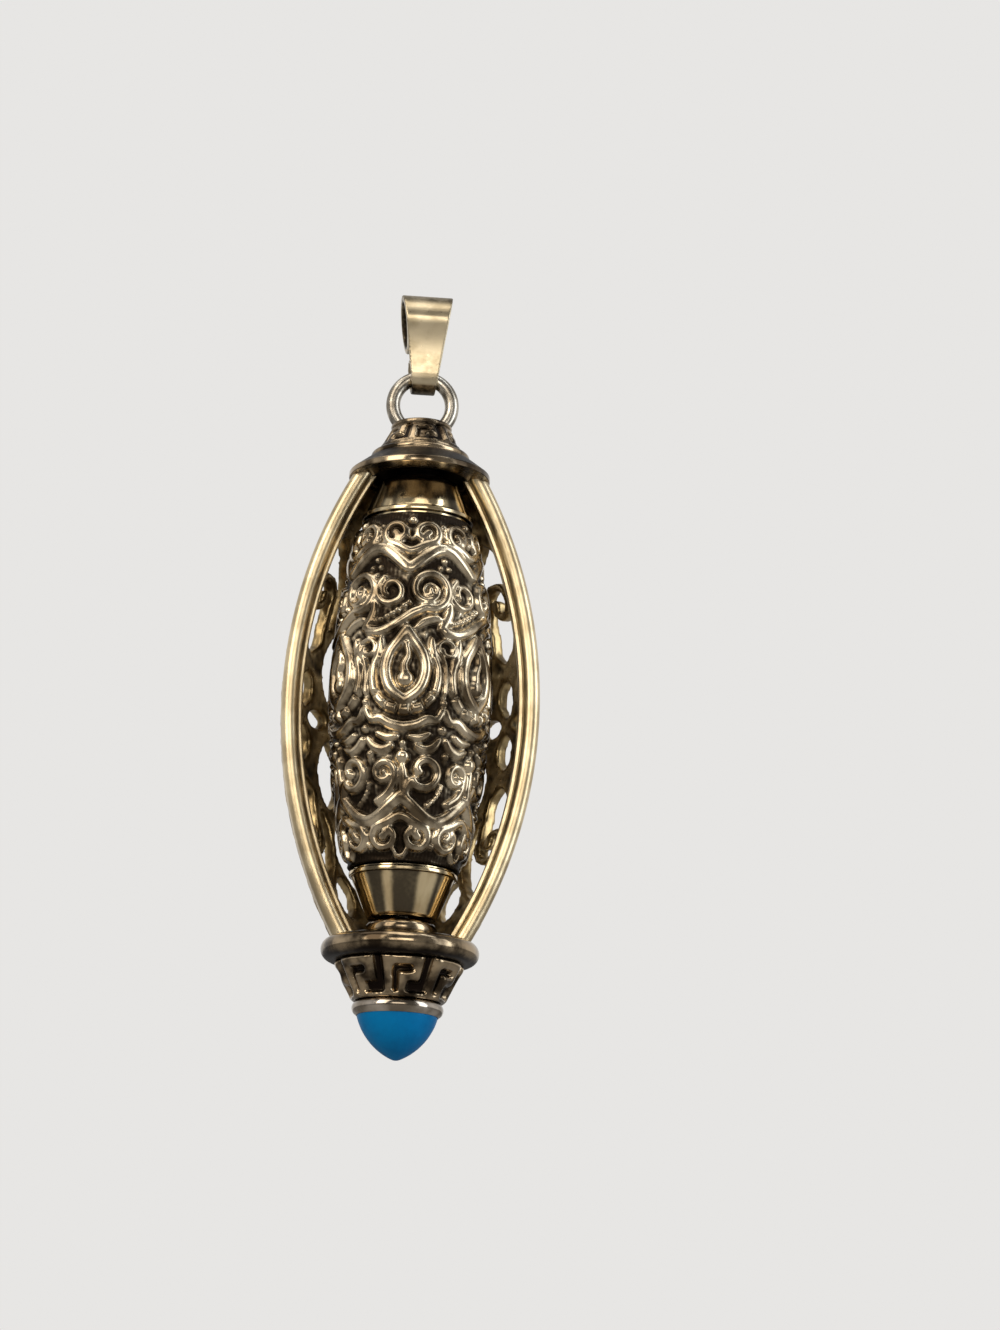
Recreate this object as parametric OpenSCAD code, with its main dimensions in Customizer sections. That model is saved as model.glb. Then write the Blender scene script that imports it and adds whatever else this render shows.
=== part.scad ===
// Hanging prayer wheel: a drum turns on an axle inside a pierced cage that is open at the front.
// Millimetres. +Z runs up the axle, the open front faces -Y, the origin is in the bail's channel.

/* [Bail] */
// Diameter of the channel that runs across the bail
channel_d = 3.2; // [2.6:0.1:5]
// Thickness of the rolled strip
strip_t = 0.5; // [0.4:0.05:0.9]
// Width of the strip at the top of the bail
bail_top_w = 3.7; // [2.8:0.1:6]
// Width of the strip at the eye
bail_eye_w = 2; // [1.4:0.1:2.4]
// Space between the upper roll and the eye roll
bail_neck = 0.65; // [0:0.05:3]
// Play between the eye and the loop's wire
eye_play = 0.12; // [0.08:0.01:0.2]
// Wall left at the flared ends of the eye
eye_lip = 0.2; // [0.15:0.05:0.6]

/* [Hanging loop] */
// Wire diameter of the loop
loop_wire_d = 1; // [0.8:0.05:1.3]
// Inside diameter of the loop
loop_inner_d = 3.2; // [2.9:0.1:4.5]
// Height of the loop's centre above the cap
loop_rise = 1.5; // [0.6:0.1:1.5]

/* [Top cap and collar] */
// Height of the cap
cap_h = 2.2; // [1.8:0.05:5]
// Shoulder of the cap around the loop's feet
cap_shoulder = 0.05; // [0.05:0.05:1]
// Diameter of the cap at its base
cap_base_d = 6; // [5.2:0.1:6.4]
// Height of the step at the cap's base
cap_step_h = 0.3; // [0.2:0.05:0.8]
// Width of the step at the cap's base
cap_step_w = 0.2; // [0.1:0.05:0.4]
// Height of the round-edged crown on top of the cap
cap_crown_h = 0.45; // [0.2:0.05:0.8]
// Depth of the groove under the crown
cap_groove = 0.15; // [0.05:0.05:0.3]
// Number of key hooks round the cap
cap_key_n = 6; // [4:1:9]
// Height of the collar above the cage
collar_h = 1.95; // [1.5:0.05:3]
// Overhang of the top collar past the cage
collar_lip = 0.25; // [0.1:0.05:1]
// Thickness of the collar's edge
collar_edge_h = 0.4; // [0.2:0.05:0.8]
// Diameter of the collar at its top, through the middle of its bead
collar_top_d = 6.5; // [6:0.1:7.5]
// Wire diameter of the bead round the collar's top
bead_d = 0.5; // [0.3:0.05:0.8]
// Depth of the hollow under the collar
collar_hollow = 0.5; // [0.2:0.05:0.8]
// Diameter of the boss that holds the axle
boss_d = 3.2; // [2.4:0.1:4]

/* [Cage] */
// Height of the cage between the collars
cage_h = 33; // [26:0.5:45]
// Diameter of the cage at its widest
cage_d = 18; // [16:0.1:22]
// Diameter of the cage at the collars
cage_end_d = 9.5; // [8.8:0.1:11]
// Thickness of the pierced wall
shell_t = 0.9; // [0.6:0.05:1.3]
// Width of the polished rim
rim_w = 1.15; // [0.8:0.05:1.6]
// Depth of the rim in front of the pierced wall
rim_depth = 1.5; // [0.9:0.05:2.5]
// Width of the ledge inside the rim
ledge_w = 0.3; // [0.1:0.05:0.5]
// Depth of the ledge inside the rim
ledge_depth = 0.7; // [0.3:0.05:0.8]

/* [Piercing] */
// Number of pierced columns round the back
column_n = 4; // [3:1:6]
// Solid strip between the rim and the first column, in degrees
side_margin = 8; // [4:1:20]
// Solid band at each end of the cage
end_margin = 3.6; // [2.5:0.1:6]
// Height of the middle row of rosettes
rosette_h = 6.6; // [4:0.1:9]
// Width of a rosette's leaf as a share of its length
petal_share = 0.62; // [0.4:0.02:0.7]
// Height of the solid bridges between the rows
bridge_h = 1.2; // [0.8:0.1:3]
// Width of the solid struts between the columns
strut_w = 1; // [0.7:0.1:2]
// Width of the scroll bars inside the windows
scroll_w = 0.55; // [0.4:0.05:0.8]
// Radius of the scroll as a share of its window's width
scroll_share = 0.28; // [0.2:0.01:0.32]
// Height of the leaf cut-outs between the windows and the rosettes
spandrel_h = 5.2; // [2:0.1:5.6]
// Width of those leaf cut-outs as a share of a column's pitch
spandrel_share = 0.33; // [0.15:0.01:0.38]
// Height of the leaf cut-outs between the outer tips of the windows
end_leaf_h = 3.2; // [1.5:0.1:3.4]
// Width of those end leaves as a share of a column's pitch
end_leaf_share = 0.32; // [0.15:0.01:0.38]

/* [Base] */
// Height of the rounded base collar
base_collar_h = 1.55; // [1:0.05:3]
// Overhang of the base collar past the cage
base_lip = 0.7; // [0.3:0.05:1.5]
// Height of the cup with the key pattern
cup_h = 2.7; // [2:0.1:5]
// Diameter of the cup where it meets the base collar
cup_top_d = 8.7; // [7.6:0.1:10]
// Diameter of the cup where it meets the bezel
cup_foot_d = 6.1; // [5:0.1:7]
// Height of the raised key pattern above its ground
key_relief = 0.35; // [0.15:0.05:0.5]
// Width of the grooves between the bars of a key hook
key_gap = 0.3; // [0.2:0.05:0.4]
// Number of key hooks round the cup
key_n = 7; // [5:1:10]
// Height of the bezel
bezel_h = 1.05; // [0.8:0.05:2]
// Outer diameter of the bezel
bezel_d = 6.3; // [5.4:0.1:7.5]
// Wall of the bezel round the stone
bezel_wall = 0.35; // [0.2:0.05:0.5]
// Depth of the stone's seat in the bezel
stone_seat = 0.7; // [0.4:0.05:0.7]
// Height of the stone below the bezel
stone_h = 2.95; // [2:0.05:4.5]
// Radius of the stone's full sides
stone_side_r = 4.5; // [4:0.1:8]
// Radius of the stone's blunt tip
stone_tip_r = 0.7; // [0.3:0.05:1]

/* [Drum] */
// Diameter of the drum at its widest
drum_d = 10.8; // [8:0.1:13]
// Diameter of the drum body at its ends
drum_end_d = 7.7; // [7.2:0.1:7.9]
// Wall of the drum body
drum_wall = 0.8; // [0.5:0.05:1]
// Height of the plain band on the upper drum cap
upper_band_h = 2.85; // [2:0.05:4]
// Diameter of the upper drum cap at its top
upper_band_d = 5.7; // [4.6:0.1:7]
// Diameter of the upper drum cap's lip
upper_lip_d = 7.9; // [7.4:0.1:8.4]
// Height of the plain band on the lower drum cap
lower_band_h = 3.2; // [2:0.05:5]
// Diameter of the lower drum cap at its foot
lower_band_d = 4.9; // [4:0.1:6.5]
// Diameter of the lower drum cap's lip
lower_lip_d = 7.5; // [7.2:0.1:8]
// Height of the groove between a drum cap and the drum body
groove_h = 0.2; // [0.1:0.05:0.5]
// Depth of that groove below the drum body
groove_depth = 0.25; // [0.1:0.05:0.5]
// Height of the lip on a drum cap
lip_h = 0.3; // [0.15:0.05:0.6]
// Width of the step behind the lip, and of the bevel at a drum cap's outer end
band_bevel = 0.15; // [0.05:0.05:0.3]
// How far a drum cap plugs into the drum body
plug_depth = 1.2; // [0.6:0.1:3]
// Outer diameter of the tube that carries the paper roll
spool_d = 2; // [1.8:0.1:2.6]
// Outer diameter of the paper roll
roll_d = 5.8; // [3:0.1:6]
// Space above the paper roll
roll_gap = 0.5; // [0.1:0.1:3]

/* [Drum relief] */
// Number of times the ornament repeats round the drum
relief_n = 6; // [5:1:7]
// Height of the ornament above the drum's face
relief_h = 0.25; // [0.1:0.05:0.4]
// Turn of the ornament from the open front, in degrees
relief_turn = -8.5; // [-30:0.5:30]
// Width of the ornament's broad strokes
stroke_w = 0.8; // [0.5:0.05:0.9]
// Place of the garlands' low points between the drum's middle and its ends
garland_share = 0.65; // [0.62:0.01:0.7]
// Rise of a garland from its low point to its peaks
garland_rise = 1.6; // [1:0.1:2]
// Place of the paired scrolls between the drum's middle and its ends
pair_share = 0.86; // [0.84:0.01:0.88]
// Outer diameter of the paired scrolls
pair_d = 1.7; // [1.4:0.1:1.8]
// Angle between the paired scrolls of one repeat, in degrees
pair_spread = 29; // [28:0.5:32]
// Place of the cloud spirals between the drum's middle and its ends
cloud_share = 0.51; // [0.48:0.01:0.52]
// Outer diameter of the large cloud spirals
large_cloud_d = 2.7; // [2:0.1:2.8]
// Outer diameter of the small cloud spirals
small_cloud_d = 2; // [1.6:0.1:2.2]
// Height of the flame round the jewel
flame_h = 6; // [4.5:0.1:6.4]
// Width of the flame round the jewel
flame_w = 3.4; // [2.6:0.1:3.6]
// Radius of the leaf scroll under the flame
lotus_r = 2.2; // [1.8:0.05:2.3]
// Diameter of the jewel
jewel_d = 1.2; // [0.8:0.1:1.3]

/* [Axle] */
// Diameter of the axle
axle_d = 1.2; // [0.9:0.05:1.5]
// Running clearance round the axle
axle_clear = 0.05; // [0.02:0.01:0.1]
// Clearance of pieces that are fixed to each other
fixed_clear = 0.02; // [0.01:0.01:0.05]
// Thickness of the washer above the drum
washer_t = 0.2; // [0.15:0.05:0.6]
// Diameter of the washer above the drum
washer_d = 2.8; // [2.2:0.1:4]
// Height of the bush below the drum
bush_h = 1.3; // [0.6:0.05:2.5]
// Diameter of the bush below the drum
bush_d = 5; // [3.6:0.1:6]
// Free play at each end of the drum
end_play = 0.12; // [0.05:0.01:0.3]

/* [Hidden] */
$fn = 96;
// Segments of the long, nearly straight arcs
arc_fn = 360;
// Margin by which a cut runs past what it cuts
past = 1;
// Extra play of the straight land in the middle of the bail's eye
land_play = 0.06;
// Share of its pitch that one key hook takes
hook_share = 0.82;
// Height of the open sill of a key hook as a share of the pattern's height
sill_share = 0.37;
// Turn of the large and of the small cloud spirals from the middle of a repeat, in degrees
large_cloud_turn = 18.5;
small_cloud_turn = -13;

// Bail and loop
channel_r = channel_d / 2;
bail_r = channel_r + strip_t;
wire_r = loop_wire_d / 2;
loop_inner_r = loop_inner_d / 2;
loop_r = loop_inner_r + wire_r;
eye_clear_r = loop_inner_r - eye_play;
eye_flare_r = loop_r - sqrt(pow(eye_clear_r, 2) - pow(bail_eye_w / 2, 2));
eye_r = eye_flare_r + eye_lip;
bail_drop = bail_r + bail_neck + eye_r;
bail_slope = (bail_top_w - bail_eye_w) / 2 / (bail_r + bail_drop);

// Heights of the fixed pieces, from the bail down to the stone
hinge_z = -bail_drop;
loop_z = hinge_z - loop_r;
cap_top_z = loop_z - loop_rise;
collar_top_z = cap_top_z - cap_h;
cage_top_z = collar_top_z - collar_h;
cage_mid_z = cage_top_z - cage_h / 2;
cage_foot_z = cage_top_z - cage_h;
cup_top_z = cage_foot_z - base_collar_h;
bezel_top_z = cup_top_z - cup_h;
bezel_foot_z = bezel_top_z - bezel_h;

// Outline of the cage: one arc through both collars and the widest point
cage_r = cage_d / 2;
cage_end_r = cage_end_d / 2;
cage_arc_r = arc_radius(cage_h / 2, cage_r - cage_end_r);
cage_arc_x = cage_r - cage_arc_r;
collar_r = cage_end_r + collar_lip;
base_collar_r = cage_end_r + base_lip;
loop_foot_r = sqrt(pow(loop_r + wire_r, 2) - pow(loop_rise, 2));
cap_top_r = loop_foot_r + cap_shoulder;
cap_base_r = cap_base_d / 2;
collar_top_r = collar_top_d / 2;
cap_band_h = cap_h - cap_step_h - cap_crown_h;

// Layout of the piercing
column_step = (180 - 2 * side_margin) / column_n;
window_h = cage_h / 2 - end_margin - bridge_h - rosette_h / 2;
window_z = rosette_h / 2 + bridge_h + window_h / 2;
spandrel_z = rosette_h / 2 + bridge_h / 2;
end_leaf_z = window_z + window_h / 2;

// Heights and radii of the drum, between the washer and the bush
drum_top_z = cage_top_z - washer_t - end_play;
body_top_z = drum_top_z - upper_band_h - groove_h;
drum_foot_z = cage_foot_z + bush_h + end_play;
body_foot_z = drum_foot_z + lower_band_h + groove_h;
body_h = body_top_z - body_foot_z;
body_mid_z = (body_top_z + body_foot_z) / 2;
drum_r = drum_d / 2;
drum_end_r = drum_end_d / 2;
drum_arc_r = arc_radius(body_h / 2, drum_r - drum_end_r);
plug_r = drum_end_r - drum_wall;
groove_r = drum_end_r - groove_depth;
spool_h = body_h - 2 * plug_depth;

// Heights of the ornament's rows above the drum's middle
garland_z = garland_share * body_h / 2;
pair_z = pair_share * body_h / 2;
cloud_z = cloud_share * body_h / 2;
// Half the width of one repeat at the garland
half_repeat = drum_radius(garland_z) * sin(180 / relief_n);

axle_r = axle_d / 2;
running_r = axle_r + axle_clear;
fixed_r = axle_r + fixed_clear;

// Stone: its full sides touch the tip's circle, so both share one tangent there
girdle_r = bezel_d / 2 - bezel_wall - fixed_clear;
tip_z = stone_h - stone_tip_r;
side_chord = norm([girdle_r, tip_z]);
side_blend_r = stone_side_r - stone_tip_r;
side_along = (pow(stone_side_r, 2) - pow(side_blend_r, 2) + pow(side_chord, 2)) / (2 * side_chord);
side_across = sqrt(pow(stone_side_r, 2) - pow(side_along, 2));
side_x = girdle_r - (side_along * girdle_r + side_across * tip_z) / side_chord;
side_z = (side_along * tip_z - side_across * girdle_r) / side_chord;
blend_z = tip_z + stone_tip_r * (tip_z - side_z) / side_blend_r;

// Radius of an arc from half its chord and its rise
function arc_radius(half_chord, rise) = (pow(half_chord, 2) + pow(rise, 2)) / (2 * rise);

// Outer radius of the cage at a height above its middle
function cage_radius(z) = cage_arc_x + sqrt(pow(cage_arc_r, 2) - pow(z, 2));

// Outer radius of the drum at a height above its middle
function drum_radius(z) = drum_r - drum_arc_r + sqrt(pow(drum_arc_r, 2) - pow(z, 2));

// Radius inside the pierced wall, from which a cut at that height or nearer the middle starts
function cut_radius(z) = cage_radius(z) - 1.5 * shell_t;

// Width on the cage's surface from one pierced column to the next at a height
function column_pitch(z) = cage_radius(z) * column_step * PI / 180;

// Width on the cage's surface that one pierced column may take at a height
function column_width(z) = column_pitch(z) - strut_w;

// Turns a flat outline to face outwards at an angle, and runs it from one radius to another
module radial_prism(angle, inner_r, outer_r) {
    rotate([0, 0, angle])
        rotate([90, 0, 90])
            translate([0, 0, inner_r])
                linear_extrude(outer_r - inner_r)
                    children();
}

// Barrel outline: an arc through two ends of radius end_r and a middle of radius mid_r
module barrel_outline(h, end_r, mid_r) {
    arc_r = arc_radius(h / 2, mid_r - end_r);
    intersection() {
        translate([mid_r - arc_r, 0])
            circle(arc_r, $fn = arc_fn);
        translate([0, -h / 2])
            square([mid_r, h]);
    }
}

// Pointed leaf, widest in the middle
module leaf(h, w) {
    r = arc_radius(h / 2, w / 2);
    intersection() {
        translate([r - w / 2, 0])
            circle(r);
        translate([w / 2 - r, 0])
            circle(r);
    }
}

// Ring, by its outer radius and the width of its bar
module ring(outer_r, w) {
    difference() {
        circle(outer_r);
        circle(outer_r - w);
    }
}

// Upper half of a ring, by the middle of its bar
module half_ring(r, w) {
    intersection() {
        ring(r + w / 2, w);
        translate([-r - w, 0])
            square([2 * (r + w), r + w]);
    }
}

// Scroll that rises from a stem, curls over and ends in a round bud
module scroll(r, w, stem) {
    curl_r = r * 2 / 3;
    bud_r = r / 3;
    half_ring(r, w);
    translate([curl_r - r, 0])
        mirror([0, 1])
            half_ring(curl_r, w);
    translate([2 * curl_r - r - bud_r + w / 2, 0])
        circle(bud_r);
    translate([r - w / 2, -stem])
        square([w, stem]);
}

// Hook of the key pattern, w wide at mid-height and h high, narrowing with the cone it stands on
module key_hook(w, h, gap, foot_scale, top_scale) {
    bar = (w - 2 * gap) / 3;
    sill = sill_share * h;
    shelf = (h + sill - gap) / 2;
    lintel = shelf + gap;
    inner = bar + gap;
    outline = [
        [0, 0], [bar, 0], [bar, lintel], [w - bar, lintel], [w - bar, shelf], [inner, shelf],
        [inner, 0], [inner + bar, 0], [inner + bar, sill], [w, sill], [w, h], [0, h]
    ];
    polygon([
        for (p = outline)
            [(p[0] - w / 2) * (foot_scale + (top_scale - foot_scale) * p[1] / h), p[1]]
    ]);
}

// Cone of the key pattern: a sunk ground with a rail at its foot and hooks standing on it
module key_cone(h, foot_r, top_r, hook_n, relief, gap) {
    mean_r = (foot_r + top_r) / 2;
    hook_w = 2 * mean_r * sin(180 / hook_n) * hook_share;
    cylinder(h, foot_r - relief, top_r - relief);
    intersection() {
        cylinder(h, foot_r, top_r);
        union() {
            cylinder(relief, r = foot_r + top_r);
            for (i = [0 : hook_n - 1])
                radial_prism(-90 + i * 360 / hook_n, min(foot_r, top_r) - 2 * relief, foot_r + top_r)
                    key_hook(hook_w, h, gap, foot_r / mean_r, top_r / mean_r);
        }
    }
}

// Tapered outline of the bail's strip, seen from the front
module bail_front() {
    foot_z = hinge_z - eye_r;
    foot_x = bail_eye_w / 2 - bail_slope * eye_r;
    polygon([
        [-bail_top_w / 2, bail_r],
        [bail_top_w / 2, bail_r],
        [foot_x, foot_z],
        [-foot_x, foot_z]
    ]);
}

// Side outline of the bail: a roll, a straight front leaf and the eye
module bail_side() {
    lean = asin((bail_r - eye_r) / bail_drop);
    out = [-cos(lean), -sin(lean)];
    eye_centre = [0, hinge_z];
    difference() {
        union() {
            circle(bail_r);
            translate(eye_centre)
                circle(eye_r);
            polygon([
                bail_r * out,
                eye_centre + eye_r * out,
                eye_centre + (eye_r - strip_t) * out,
                channel_r * out
            ]);
        }
        circle(channel_r);
    }
}

// Flared hole that keeps clear of the loop's inside as the bail swings
module eye_hole() {
    translate([0, 0, hinge_z])
        rotate([0, 90, 0]) {
            rotate_extrude()
                difference() {
                    translate([0, -eye_clear_r])
                        square([loop_r, 2 * eye_clear_r]);
                    translate([loop_r, 0])
                        circle(eye_clear_r);
                }
            cylinder(2 * bail_eye_w, r = wire_r + eye_play + land_play, center = true);
        }
}

module bail() {
    color("tan")
        difference() {
            intersection() {
                rotate([90, 0, 90])
                    linear_extrude(2 * bail_top_w, center = true)
                        bail_side();
                rotate([90, 0, 0])
                    linear_extrude(4 * bail_r, center = true)
                        bail_front();
            }
            eye_hole();
        }
}

module hanging_loop() {
    color("silver")
        intersection() {
            translate([0, 0, loop_z])
                rotate([90, 0, 0])
                    rotate_extrude()
                        translate([loop_r, 0])
                            circle(wire_r);
            translate([-2 * loop_r, -loop_r, cap_top_z])
                cube([4 * loop_r, 2 * loop_r, 4 * loop_r]);
        }
}

module top_cap() {
    foot_r = cap_base_r - cap_step_w;
    color("gray")
        translate([0, 0, collar_top_z]) {
            cylinder(cap_step_h, r = cap_base_r);
            translate([0, 0, cap_step_h])
                key_cone(cap_band_h, foot_r, cap_top_r - cap_groove, cap_key_n, key_relief / 2, key_gap / 2);
            translate([0, 0, cap_h - cap_crown_h])
                round_edge(cap_top_r, cap_crown_h);
        }
}

module top_collar() {
    hollow_r = cage_end_r - rim_w - ledge_w;
    color("dimgray")
        translate([0, 0, cage_top_z])
            rotate_extrude()
                difference() {
                    union() {
                        polygon([
                            [0, 0],
                            [collar_r, 0],
                            [collar_r, collar_edge_h],
                            [collar_top_r, collar_h],
                            [0, collar_h]
                        ]);
                        translate([collar_top_r, collar_h - bead_d / 2])
                            circle(bead_d / 2);
                    }
                    translate([boss_d / 2, -past])
                        square([hollow_r - boss_d / 2, collar_hollow + past]);
                    translate([0, -past])
                        square([fixed_r, collar_h + 2 * past]);
                }
}

// Window with a scroll that stands on its lower point
module scroll_window(hand) {
    window_w = column_width(window_z);
    difference() {
        leaf(window_h, window_w);
        mirror([hand, 0])
            scroll(scroll_share * window_w, scroll_w, window_h);
    }
}

// Four leaves round a small hub
module rosette() {
    hub = scroll_w;
    for (turn = [0 : 90 : 270]) {
        tip = turn % 180 == 0 ? rosette_h / 2 : column_width(0) / 2;
        rotate(turn)
            translate([0, (hub + tip) / 2])
                leaf(tip - hub, petal_share * (tip - hub));
    }
}

// One pierced column: a rosette with a scroll window above and below
module column_windows(angle, hand) {
    radial_prism(angle, cut_radius(rosette_h / 2), cage_r + past)
        rosette();
    for (flip = [0, 1])
        mirror([0, 0, flip])
            radial_prism(angle, cut_radius(window_z + window_h / 2), cage_r + past)
                translate([0, window_z])
                    scroll_window(hand);
}

// Leaf cut-outs in the solid wall between two columns
module spandrels(angle) {
    for (flip = [0, 1])
        mirror([0, 0, flip]) {
            radial_prism(angle, cut_radius(spandrel_z + spandrel_h / 2), cage_r + past)
                translate([0, spandrel_z])
                    leaf(spandrel_h, spandrel_share * column_pitch(spandrel_z));
            radial_prism(angle, cut_radius(end_leaf_z + end_leaf_h / 2), cage_r + past)
                translate([0, end_leaf_z])
                    leaf(end_leaf_h, end_leaf_share * column_pitch(end_leaf_z));
        }
}

module cage_shell() {
    color("peru")
        translate([0, 0, cage_mid_z])
            difference() {
                rotate_extrude(angle = 180)
                    difference() {
                        barrel_outline(cage_h, cage_end_r, cage_r);
                        translate([cage_arc_x, 0])
                            circle(cage_arc_r - shell_t, $fn = arc_fn);
                    }
                for (i = [0 : column_n - 1])
                    column_windows(side_margin + (i + 0.5) * column_step, i < column_n / 2 ? 0 : 1);
                for (i = [1 : column_n - 1])
                    spandrels(side_margin + i * column_step);
            }
}

// Right-hand rim: a round-fronted bar with an inner ledge, swept along the cage's arc
module rim() {
    inner_r = cage_arc_r - rim_w - ledge_w;
    spread = asin(cage_h / 2 / inner_r) + 1;
    front = rim_depth - rim_w / 2;
    intersection() {
        translate([cage_arc_x, 0, cage_mid_z])
            rotate([90, 0, 0])
                rotate([0, 0, -spread])
                    rotate_extrude(angle = 2 * spread, $fn = arc_fn) {
                        translate([cage_arc_r - rim_w, 0])
                            square([rim_w, front]);
                        translate([cage_arc_r - rim_w / 2, front])
                            circle(rim_w / 2, $fn = 48);
                        translate([inner_r, 0])
                            square([rim_w / 2 + ledge_w, ledge_depth]);
                    }
        translate([0, -2 * rim_depth, cage_foot_z])
            cube([cage_d, 4 * rim_depth, cage_h]);
    }
}

module right_rim() {
    color("silver")
        rim();
}

module left_rim() {
    color("silver")
        mirror([1, 0, 0])
            rim();
}

// Flat disc with a full round edge
module round_edge(r, h) {
    edge_r = h / 2;
    rotate_extrude() {
        square([r - edge_r, h]);
        translate([r - edge_r, edge_r])
            circle(edge_r);
    }
}

// Flat disc with a round edge and a hole for the axle
module round_disc(r, h, hole_r) {
    difference() {
        round_edge(r, h);
        translate([0, 0, -past])
            cylinder(h + 2 * past, r = hole_r);
    }
}

module base_collar() {
    color("dimgray")
        translate([0, 0, cup_top_z])
            round_disc(base_collar_r, base_collar_h, fixed_r);
}

module key_cup() {
    color("gray")
        translate([0, 0, bezel_top_z])
            key_cone(cup_h, cup_foot_d / 2, cup_top_d / 2, key_n, key_relief, key_gap);
}

module bezel() {
    color("lightgray")
        translate([0, 0, bezel_foot_z])
            difference() {
                round_edge(bezel_d / 2, bezel_h);
                translate([0, 0, -past])
                    cylinder(stone_seat + past, r = girdle_r + fixed_clear);
            }
}

module stone_tip() {
    color("deepskyblue")
        translate([0, 0, bezel_foot_z]) {
            cylinder(stone_seat, r = girdle_r);
            mirror([0, 0, 1])
                rotate_extrude() {
                    intersection() {
                        square([girdle_r, blend_z]);
                        translate([side_x, side_z])
                            circle(stone_side_r, $fn = arc_fn);
                    }
                    intersection() {
                        translate([0, blend_z])
                            square([girdle_r, stone_h]);
                        translate([0, tip_z])
                            circle(stone_tip_r);
                    }
                }
        }
}

module axle() {
    color("silver")
        translate([0, 0, cup_top_z])
            cylinder(collar_top_z - cup_top_z, r = axle_r);
}

module top_washer() {
    color("gold")
        translate([0, 0, cage_top_z - washer_t])
            difference() {
                cylinder(washer_t, d = washer_d);
                translate([0, 0, -past])
                    cylinder(washer_t + 2 * past, r = fixed_r);
            }
}

module lower_bush() {
    color("dimgray")
        translate([0, 0, cage_foot_z])
            round_disc(bush_d / 2, bush_h, fixed_r);
}

// Stands a flat outline of a width on the drum's face, by its turn from the first repeat and its height
module on_drum(turn, z, width) {
    root_r = drum_radius(z) - drum_wall / 2;
    radial_prism(relief_turn - 90 + turn, sqrt(pow(root_r, 2) - pow(width / 2, 2)), drum_r + past)
        translate([0, z])
            children();
}

// Ring on the drum's face
module drum_ring(turn, z, d) {
    on_drum(turn, z, d)
        ring(d / 2, stroke_w * 3 / 4);
}

// One swag of a garland: a bent bar that hangs from peak to peak and crosses the next ones there
module swag(turn) {
    end_x = half_repeat + stroke_w / 4;
    drop = garland_rise * end_x / half_repeat;
    half_w = stroke_w / 2 * norm([half_repeat, garland_rise]) / half_repeat;
    on_drum(turn, garland_z + drop, 2 * end_x)
        polygon([
            [-end_x, -half_w],
            [0, -drop - half_w],
            [end_x, -half_w],
            [end_x, half_w],
            [0, half_w - drop],
            [-end_x, half_w]
        ]);
}

// One repeat of a border: a swag of the garland, two scrolls in it and two cloud spirals beside it
module border(turn) {
    swag(turn);
    for (side = [-0.5, 0.5])
        drum_ring(turn + side * pair_spread, pair_z, pair_d);
    drum_ring(turn + large_cloud_turn, cloud_z, large_cloud_d);
    drum_ring(turn + small_cloud_turn, cloud_z, small_cloud_d);
}

// One repeat of the main motif: a jewel in a flame, with a leaf scroll under it
module flaming_jewel(turn) {
    flame_z = flame_h / 2 - lotus_r;
    on_drum(turn, 0, 2 * lotus_r + stroke_w) {
        translate([0, flame_z])
            difference() {
                leaf(flame_h, flame_w);
                leaf(flame_h - 2 * stroke_w, flame_w - 2 * stroke_w);
            }
        mirror([0, 1])
            half_ring(lotus_r, stroke_w);
        circle(jewel_d / 2);
    }
}

// Hollow of the drum body: the room for the paper roll and the two bores for the plugs
module drum_hollow() {
    rotate_extrude() {
        translate([0, -body_h / 2 - past])
            square([plug_r, body_h + 2 * past]);
        intersection() {
            translate([drum_r - drum_arc_r, 0])
                circle(drum_arc_r - drum_wall, $fn = arc_fn);
            translate([0, -spool_h / 2])
                square([drum_r, spool_h]);
        }
    }
}

module drum_body() {
    color("darkgray")
        translate([0, 0, body_mid_z])
            difference() {
                union() {
                    rotate_extrude()
                        barrel_outline(body_h, drum_end_r, drum_r);
                    intersection() {
                        rotate_extrude()
                            barrel_outline(body_h, drum_end_r + relief_h, drum_r + relief_h);
                        for (i = [0 : relief_n - 1]) {
                            flaming_jewel(i * 360 / relief_n);
                            border(i * 360 / relief_n);
                            mirror([0, 0, 1])
                                border(i * 360 / relief_n);
                        }
                    }
                }
                drum_hollow();
            }
}

// Drum cap standing on the drum body: a plug, a groove, a lip and a plain tapered band
module drum_cap(lip_r, end_r, band_h) {
    top = groove_h + band_h;
    band_z = groove_h + lip_h;
    rotate_extrude()
        polygon([
            [running_r, -plug_depth],
            [plug_r - fixed_clear, -plug_depth],
            [plug_r - fixed_clear, 0],
            [groove_r, 0],
            [groove_r, groove_h],
            [lip_r, groove_h],
            [lip_r, band_z],
            [lip_r - band_bevel, band_z],
            [end_r, top - band_bevel],
            [end_r - band_bevel, top],
            [running_r, top]
        ]);
}

module upper_drum_cap() {
    color("silver")
        translate([0, 0, body_top_z])
            drum_cap(upper_lip_d / 2, upper_band_d / 2, upper_band_h);
}

module lower_drum_cap() {
    color("silver")
        translate([0, 0, body_foot_z])
            mirror([0, 0, 1])
                drum_cap(lower_lip_d / 2, lower_band_d / 2, lower_band_h);
}

module tube(outer_r, inner_r, h) {
    difference() {
        cylinder(h, r = outer_r);
        translate([0, 0, -past])
            cylinder(h + 2 * past, r = inner_r);
    }
}

module spool_tube() {
    color("goldenrod")
        translate([0, 0, body_foot_z + plug_depth])
            tube(spool_d / 2, running_r, spool_h);
}

module paper_roll() {
    color("wheat")
        translate([0, 0, body_foot_z + plug_depth])
            tube(roll_d / 2, spool_d / 2 + fixed_clear, spool_h - roll_gap);
}

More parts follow.
